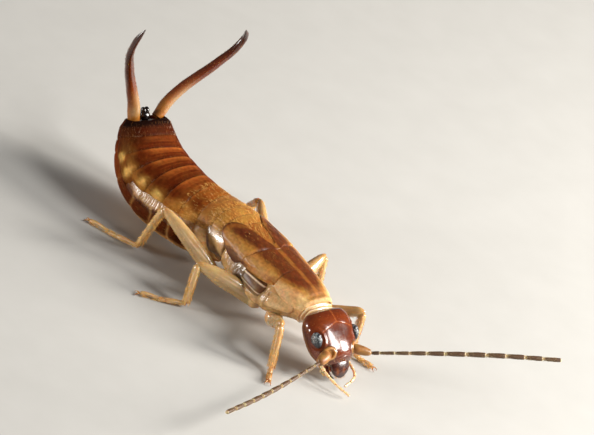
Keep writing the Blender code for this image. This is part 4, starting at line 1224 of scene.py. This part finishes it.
def trunk_hairs(coat, count, along_range, side_range, length, width, lift, grow, colour=HAIR_GOLD):
    """Hairs on the trunk between two places and two distances from the mid-line, lying towards the tail."""
    along = DRAW.uniform(*along_range, count)
    turn = 90 + DRAW.uniform(*side_range, count) * DRAW.choice((-1, 1), count)
    root = trunk_surface(along, turn, grow)
    back = trunk_surface(along + 0.02, turn, grow) - root
    normal = unit(np.cross(trunk_surface(along, turn + 1.0, grow) - root, back))
    normal *= np.sign((normal * (root - trunk_point(along, 0.0, 0.0))).sum(axis=1))[:, None]
    spots = np.stack([0.02 + 0.94 * along / TRUNK_LENGTH, 0.02 + 0.94 * ((turn + 90) % 360) / 360], axis=1)
    add_hairs(coat, root - normal * 0.012, normal, unit(back) + normal * lift, 0.22, length, width, spots,
              colour)


def build_trunk_coat():
    """Fine golden hairs on the back plates, thickest behind the wing pads."""
    coat = Shape()
    trunk_hairs(coat, 900, (2.35, 3.85), (0, 68), 0.13, 0.0046, 0.5, 0.015, HAIR_BRIGHT)
    trunk_hairs(coat, 700, (3.7, 4.9), (0, 80), 0.11, 0.0042, 0.5, 0.01, HAIR_BRIGHT)
    trunk_hairs(coat, 1500, (4.8, 7.5), (0, 92), 0.075, 0.0020, 0.4, 0.005, HAIR_BROWN)
    for edge in ABDOMEN_EDGES[1:-1]:
        trunk_hairs(coat, 90, (edge - 0.04, edge + 0.02), (0, 92), 0.10, 0.0024, 0.35, 0.008, HAIR_BROWN)
    trunk_hairs(coat, 220, (7.5, 7.95), (0, 96), 0.13, 0.0026, 0.7, 0.005, HAIR_BROWN)
    trunk_hairs(coat, 600, (0.1, 2.2), (0, 80), 0.07, 0.0022, 0.5, 0.03)
    trunk_hairs(coat, 1000, (3.6, 7.9), (104, 176), 0.10, 0.0024, 0.5, -0.01)
    trunk_hairs(coat, 420, (0.3, 3.2), (96, 170), 0.10, 0.0026, 0.9, -0.03)
    coat.make("hairs_trunk", HAIR, tidy=False)


def limb_hairs(coat, path, radii, count, length, width, lift, spot, size, colour=HAIR_GOLD,
               reach=(0.04, 0.97)):
    """Hairs all round a limb, lying towards its tip; spot and size are its strip of the map."""
    share = DRAW.uniform(*reach, count)
    turn = DRAW.uniform(0, 360, count)
    index, places = share * (len(path) - 1), np.arange(len(path))
    upward, across, along = [read_rows(index, places, axis) for axis in ring_axes(path)]
    normal = upward * np.sin(np.radians(turn))[:, None] + across * np.cos(np.radians(turn))[:, None]
    thick = np.interp(index, places, radii + 0 * places) * 0.93
    root = read_rows(index, places, path) + normal * thick[:, None]
    spots = np.stack([spot[0] + size[0] * share, spot[1] + size[1] * turn / 360], axis=1)
    add_hairs(coat, root, normal, along + normal * lift, 0.16, length, width, spots, colour)


def build_limb_coats():
    """Short golden hairs on legs, feet, feelers and forceps."""
    coat = Shape()
    for number, (name, marks) in enumerate(LEGS.items()):
        hip, knee, heel, claws = [np.array(mark) for mark in marks[1:]]
        thick = 0.85 * THIGH_RADII[name.split("_")[0]]
        row = 0.01 + 0.16 * number
        thigh = smooth_value((0, 0.3, 0.6, 1), (0.10, thick, thick, 0.10), np.linspace(0, 1, 30))
        foot = (heel + (0, 0, -0.02), heel * 0.58 + claws * 0.42 + (0, 0, -0.03), claws + (0, 0, 0.005))
        for line, radii, count, length, width, lift, column, end in (
                ((hip, knee), thigh, 300, 0.085, 0.0055, 0.7, 0.01, 0.97),
                ((knee, heel), 0.092, 520, 0.120, 0.0070, 0.95, 0.34, 0.97),
                (foot, 0.055, 300, 0.085, 0.0062, 0.85, 0.67, 0.92)):
            limb_hairs(coat, through(line, 30), radii, count, length, width, lift, (column, row), (0.3, 0.14),
                       HAIR_BRIGHT, reach=(0.04, end))
    coat.make("hairs_legs", HAIR, tidy=False)
    coat = Shape()
    for number, marks in enumerate(ANTENNAE.values()):
        thick = np.interp(np.linspace(0, 1, 120), (0, 0.2, 0.5, 1), (0.040, 0.046, 0.062, 0.055))
        limb_hairs(coat, through(marks[1:], 120), thick, 2200, 0.052, 0.0024, 0.7,
                   (0.01, 0.01 + 0.3 * number), (0.95, 0.28), FEELER_RING)
        limb_hairs(coat, through(marks[:2], 20), 0.10, 70, 0.06, 0.0028, 0.6, (0.01, 0.61 + 0.05 * number),
                   (0.3, 0.04), reach=(0.3, 0.95))
    for number, marks in enumerate(PALPS.values()):
        limb_hairs(coat, through(marks, 40), 0.040, 130, 0.05, 0.0024, 0.7, (0.34, 0.61 + 0.05 * number),
                   (0.3, 0.04), reach=(0.3, 0.98))
    for number, side in enumerate(BLADES):
        radii = smooth_value(BLADE_SHARES, BLADE_HALF_SIZES, np.linspace(0, 1, 80))
        limb_hairs(coat, blade_line(side, 80), radii, 260, 0.075, 0.0030, 0.6, (0.01, 0.72 + 0.12 * number),
                   (0.95, 0.10), reach=(0.02, 0.8))
    coat.make("hairs_feelers", HAIR, tidy=False)


def head_direction(left, back, up):
    """A direction of the head's own frame turned with the head."""
    return head_point(np.stack(np.broadcast_arrays(left, back, up), axis=1)) - HEAD_PLACE


def build_head_coat():
    """Sparse fine hairs on the head and round the mouth."""
    coat = Shape()
    y = DRAW.uniform(-0.60, 0.75, 420)
    turn = DRAW.uniform(5, 175, 420)
    x, z = head_oval(turn, y)
    clear = eye_gap(x, y, z, (0.17, 0.26, 0.22)) > 1
    x, y, z, turn = x[clear], y[clear], z[clear], turn[clear]
    roots = head_point(np.stack([x, y, z], axis=1) * (0.985, 1, 0.985))
    normals = unit(head_direction(x, 0, z * 1.6))
    spots = np.stack([0.02 + 0.9 * (y + 0.62) / 1.5, 0.02 + 0.9 * turn / 180], axis=1)
    add_hairs(coat, roots, normals, head_direction(0 * x, -0.8, 0) + normals * 0.8, 0.2, 0.07, 0.0028, spots)
    x = DRAW.uniform(-0.2, 0.2, 70)
    roots = head_point(np.stack([x, -0.97 + 0.9 * x * x, 0.06 + 0 * x], axis=1))
    spots = np.stack([0.95 + 0 * x, 0.1 + 0.8 * (x + 0.2) / 0.4], axis=1)
    normals, leans = head_direction(0 * x, 0, 1), head_direction(0.4 * x, -1, 0)
    add_hairs(coat, roots, normals, leans, 0.15, 0.09, 0.0028, spots)
    coat.make("hairs_head", HAIR, tidy=False)


# Camera axes: to the picture's right, up it and out of it towards the camera
SIGHT_RIGHT = Vector((0.7056, -0.6320, 0.3202))
SIGHT_UP = Vector((0.1494, 0.5746, 0.8046))
SIGHT_BACK = Vector((-0.6925, -0.5200, 0.5000))
CAMERA_DISTANCE = 150.0
SENSOR_WIDTH = 36.0
PICTURE_WIDTH = 594
PICTURE_SCALE = 37.72
PICTURE_MIDDLE = (1.21, 2.35)
LIGHTS_AIM = (-1.0, 2.0, 0.0)
# Lights: place as the picture shows it, width, height, power and colour
LIGHTS = {
    "key": ((70, 6, 3), 22, 38, 0.092, (1.0, 0.965, 0.91)),
    "front": ((58, 14, 31), 24, 22, 0.034, (1.0, 0.98, 0.95)),
    "side": ((-54, 17, 24), 14, 14, 0.024, (1.0, 0.99, 0.97)),
}
FLOOR_REACH = 0.6
FLOOR_COLOURS = {"A": (0.52, 0.51, 0.485, 1), "B": (0.57, 0.56, 0.535, 1)}
SKY_COLOUR = (0.98, 0.95, 0.90, 1)
SKY_STRENGTH = 0.12


def sight_place(right, up, back):
    """A point in metres, by millimetres to the picture's right, up it and towards the camera."""
    offset = SIGHT_RIGHT * right + SIGHT_UP * up + SIGHT_BACK * back
    return (Vector((MIDLINE_X, THORAX_Y, 0.0)) + offset) * MM


def build_camera():
    """A long lens at the photograph's viewing angle."""
    camera = bpy.data.cameras.new("camera")
    camera.sensor_width = SENSOR_WIDTH
    camera.lens = SENSOR_WIDTH * CAMERA_DISTANCE / (PICTURE_WIDTH / PICTURE_SCALE)
    camera.clip_start = 0.005
    camera.clip_end = 5.0
    holder = show("camera", camera)
    turn = Matrix((SIGHT_RIGHT.normalized(), SIGHT_UP.normalized(), SIGHT_BACK.normalized())).transposed()
    place = sight_place(*PICTURE_MIDDLE, CAMERA_DISTANCE)
    holder.matrix_world = Matrix.Translation(place) @ turn.to_4x4()
    bpy.context.scene.camera = holder


def add_light(name, place, size, height, power, colour):
    """A soft oval light, aimed at the animal."""
    light = bpy.data.lights.new(name, "AREA")
    light.shape = "ELLIPSE"
    light.size = size * MM
    light.size_y = height * MM
    light.energy = power
    light.color = colour
    holder = show(name, light)
    holder.location = sight_place(*place)
    aim = sight_place(*LIGHTS_AIM) - sight_place(*place)
    holder.rotation_euler = aim.to_track_quat("-Z", "Y").to_euler()


def build_stage():
    """A plain pale floor, a soft key light, two weaker lights and a dim sky."""
    mesh = bpy.data.meshes.new("floor")
    corners = [(x * FLOOR_REACH, y * FLOOR_REACH, 0) for x, y in ((-1, -1), (1, -1), (1, 1), (-1, 1))]
    mesh.from_pydata(corners, [], [(0, 1, 2, 3)])
    floor = show("floor", mesh)
    made, tree, shader = new_material("floor_plaster", Roughness=0.85)
    spot = tree.nodes.new("ShaderNodeTexCoord")
    ramp = add_node(tree, "Mix", {}, data_type="RGBA")
    for socket, colour in FLOOR_COLOURS.items():
        ramp.inputs[socket].default_value = colour
    tree.links.new(noise(tree, spot, 900, 3.0), ramp.inputs["Factor"])
    tree.links.new(ramp.outputs["Result"], shader.inputs["Base Color"])
    mesh.materials.append(made)
    for name, settings in LIGHTS.items():
        add_light(name, *settings)
    world = bpy.data.worlds.new("sky")
    world.use_nodes = True
    sky = world.node_tree.nodes["Background"]
    sky.inputs["Color"].default_value = SKY_COLOUR
    sky.inputs["Strength"].default_value = SKY_STRENGTH
    bpy.context.scene.world = world
    bpy.context.scene.view_settings.view_transform = "Standard"


build_camera()
build_skin()
build_tergites()
build_sternites()
build_thorax()
build_sides()
build_head()
build_mouth()
build_feelers()
build_legs()
build_forceps()
build_trunk_coat()
build_limb_coats()
build_head_coat()
build_stage()

bpy.context.view_layer.update()
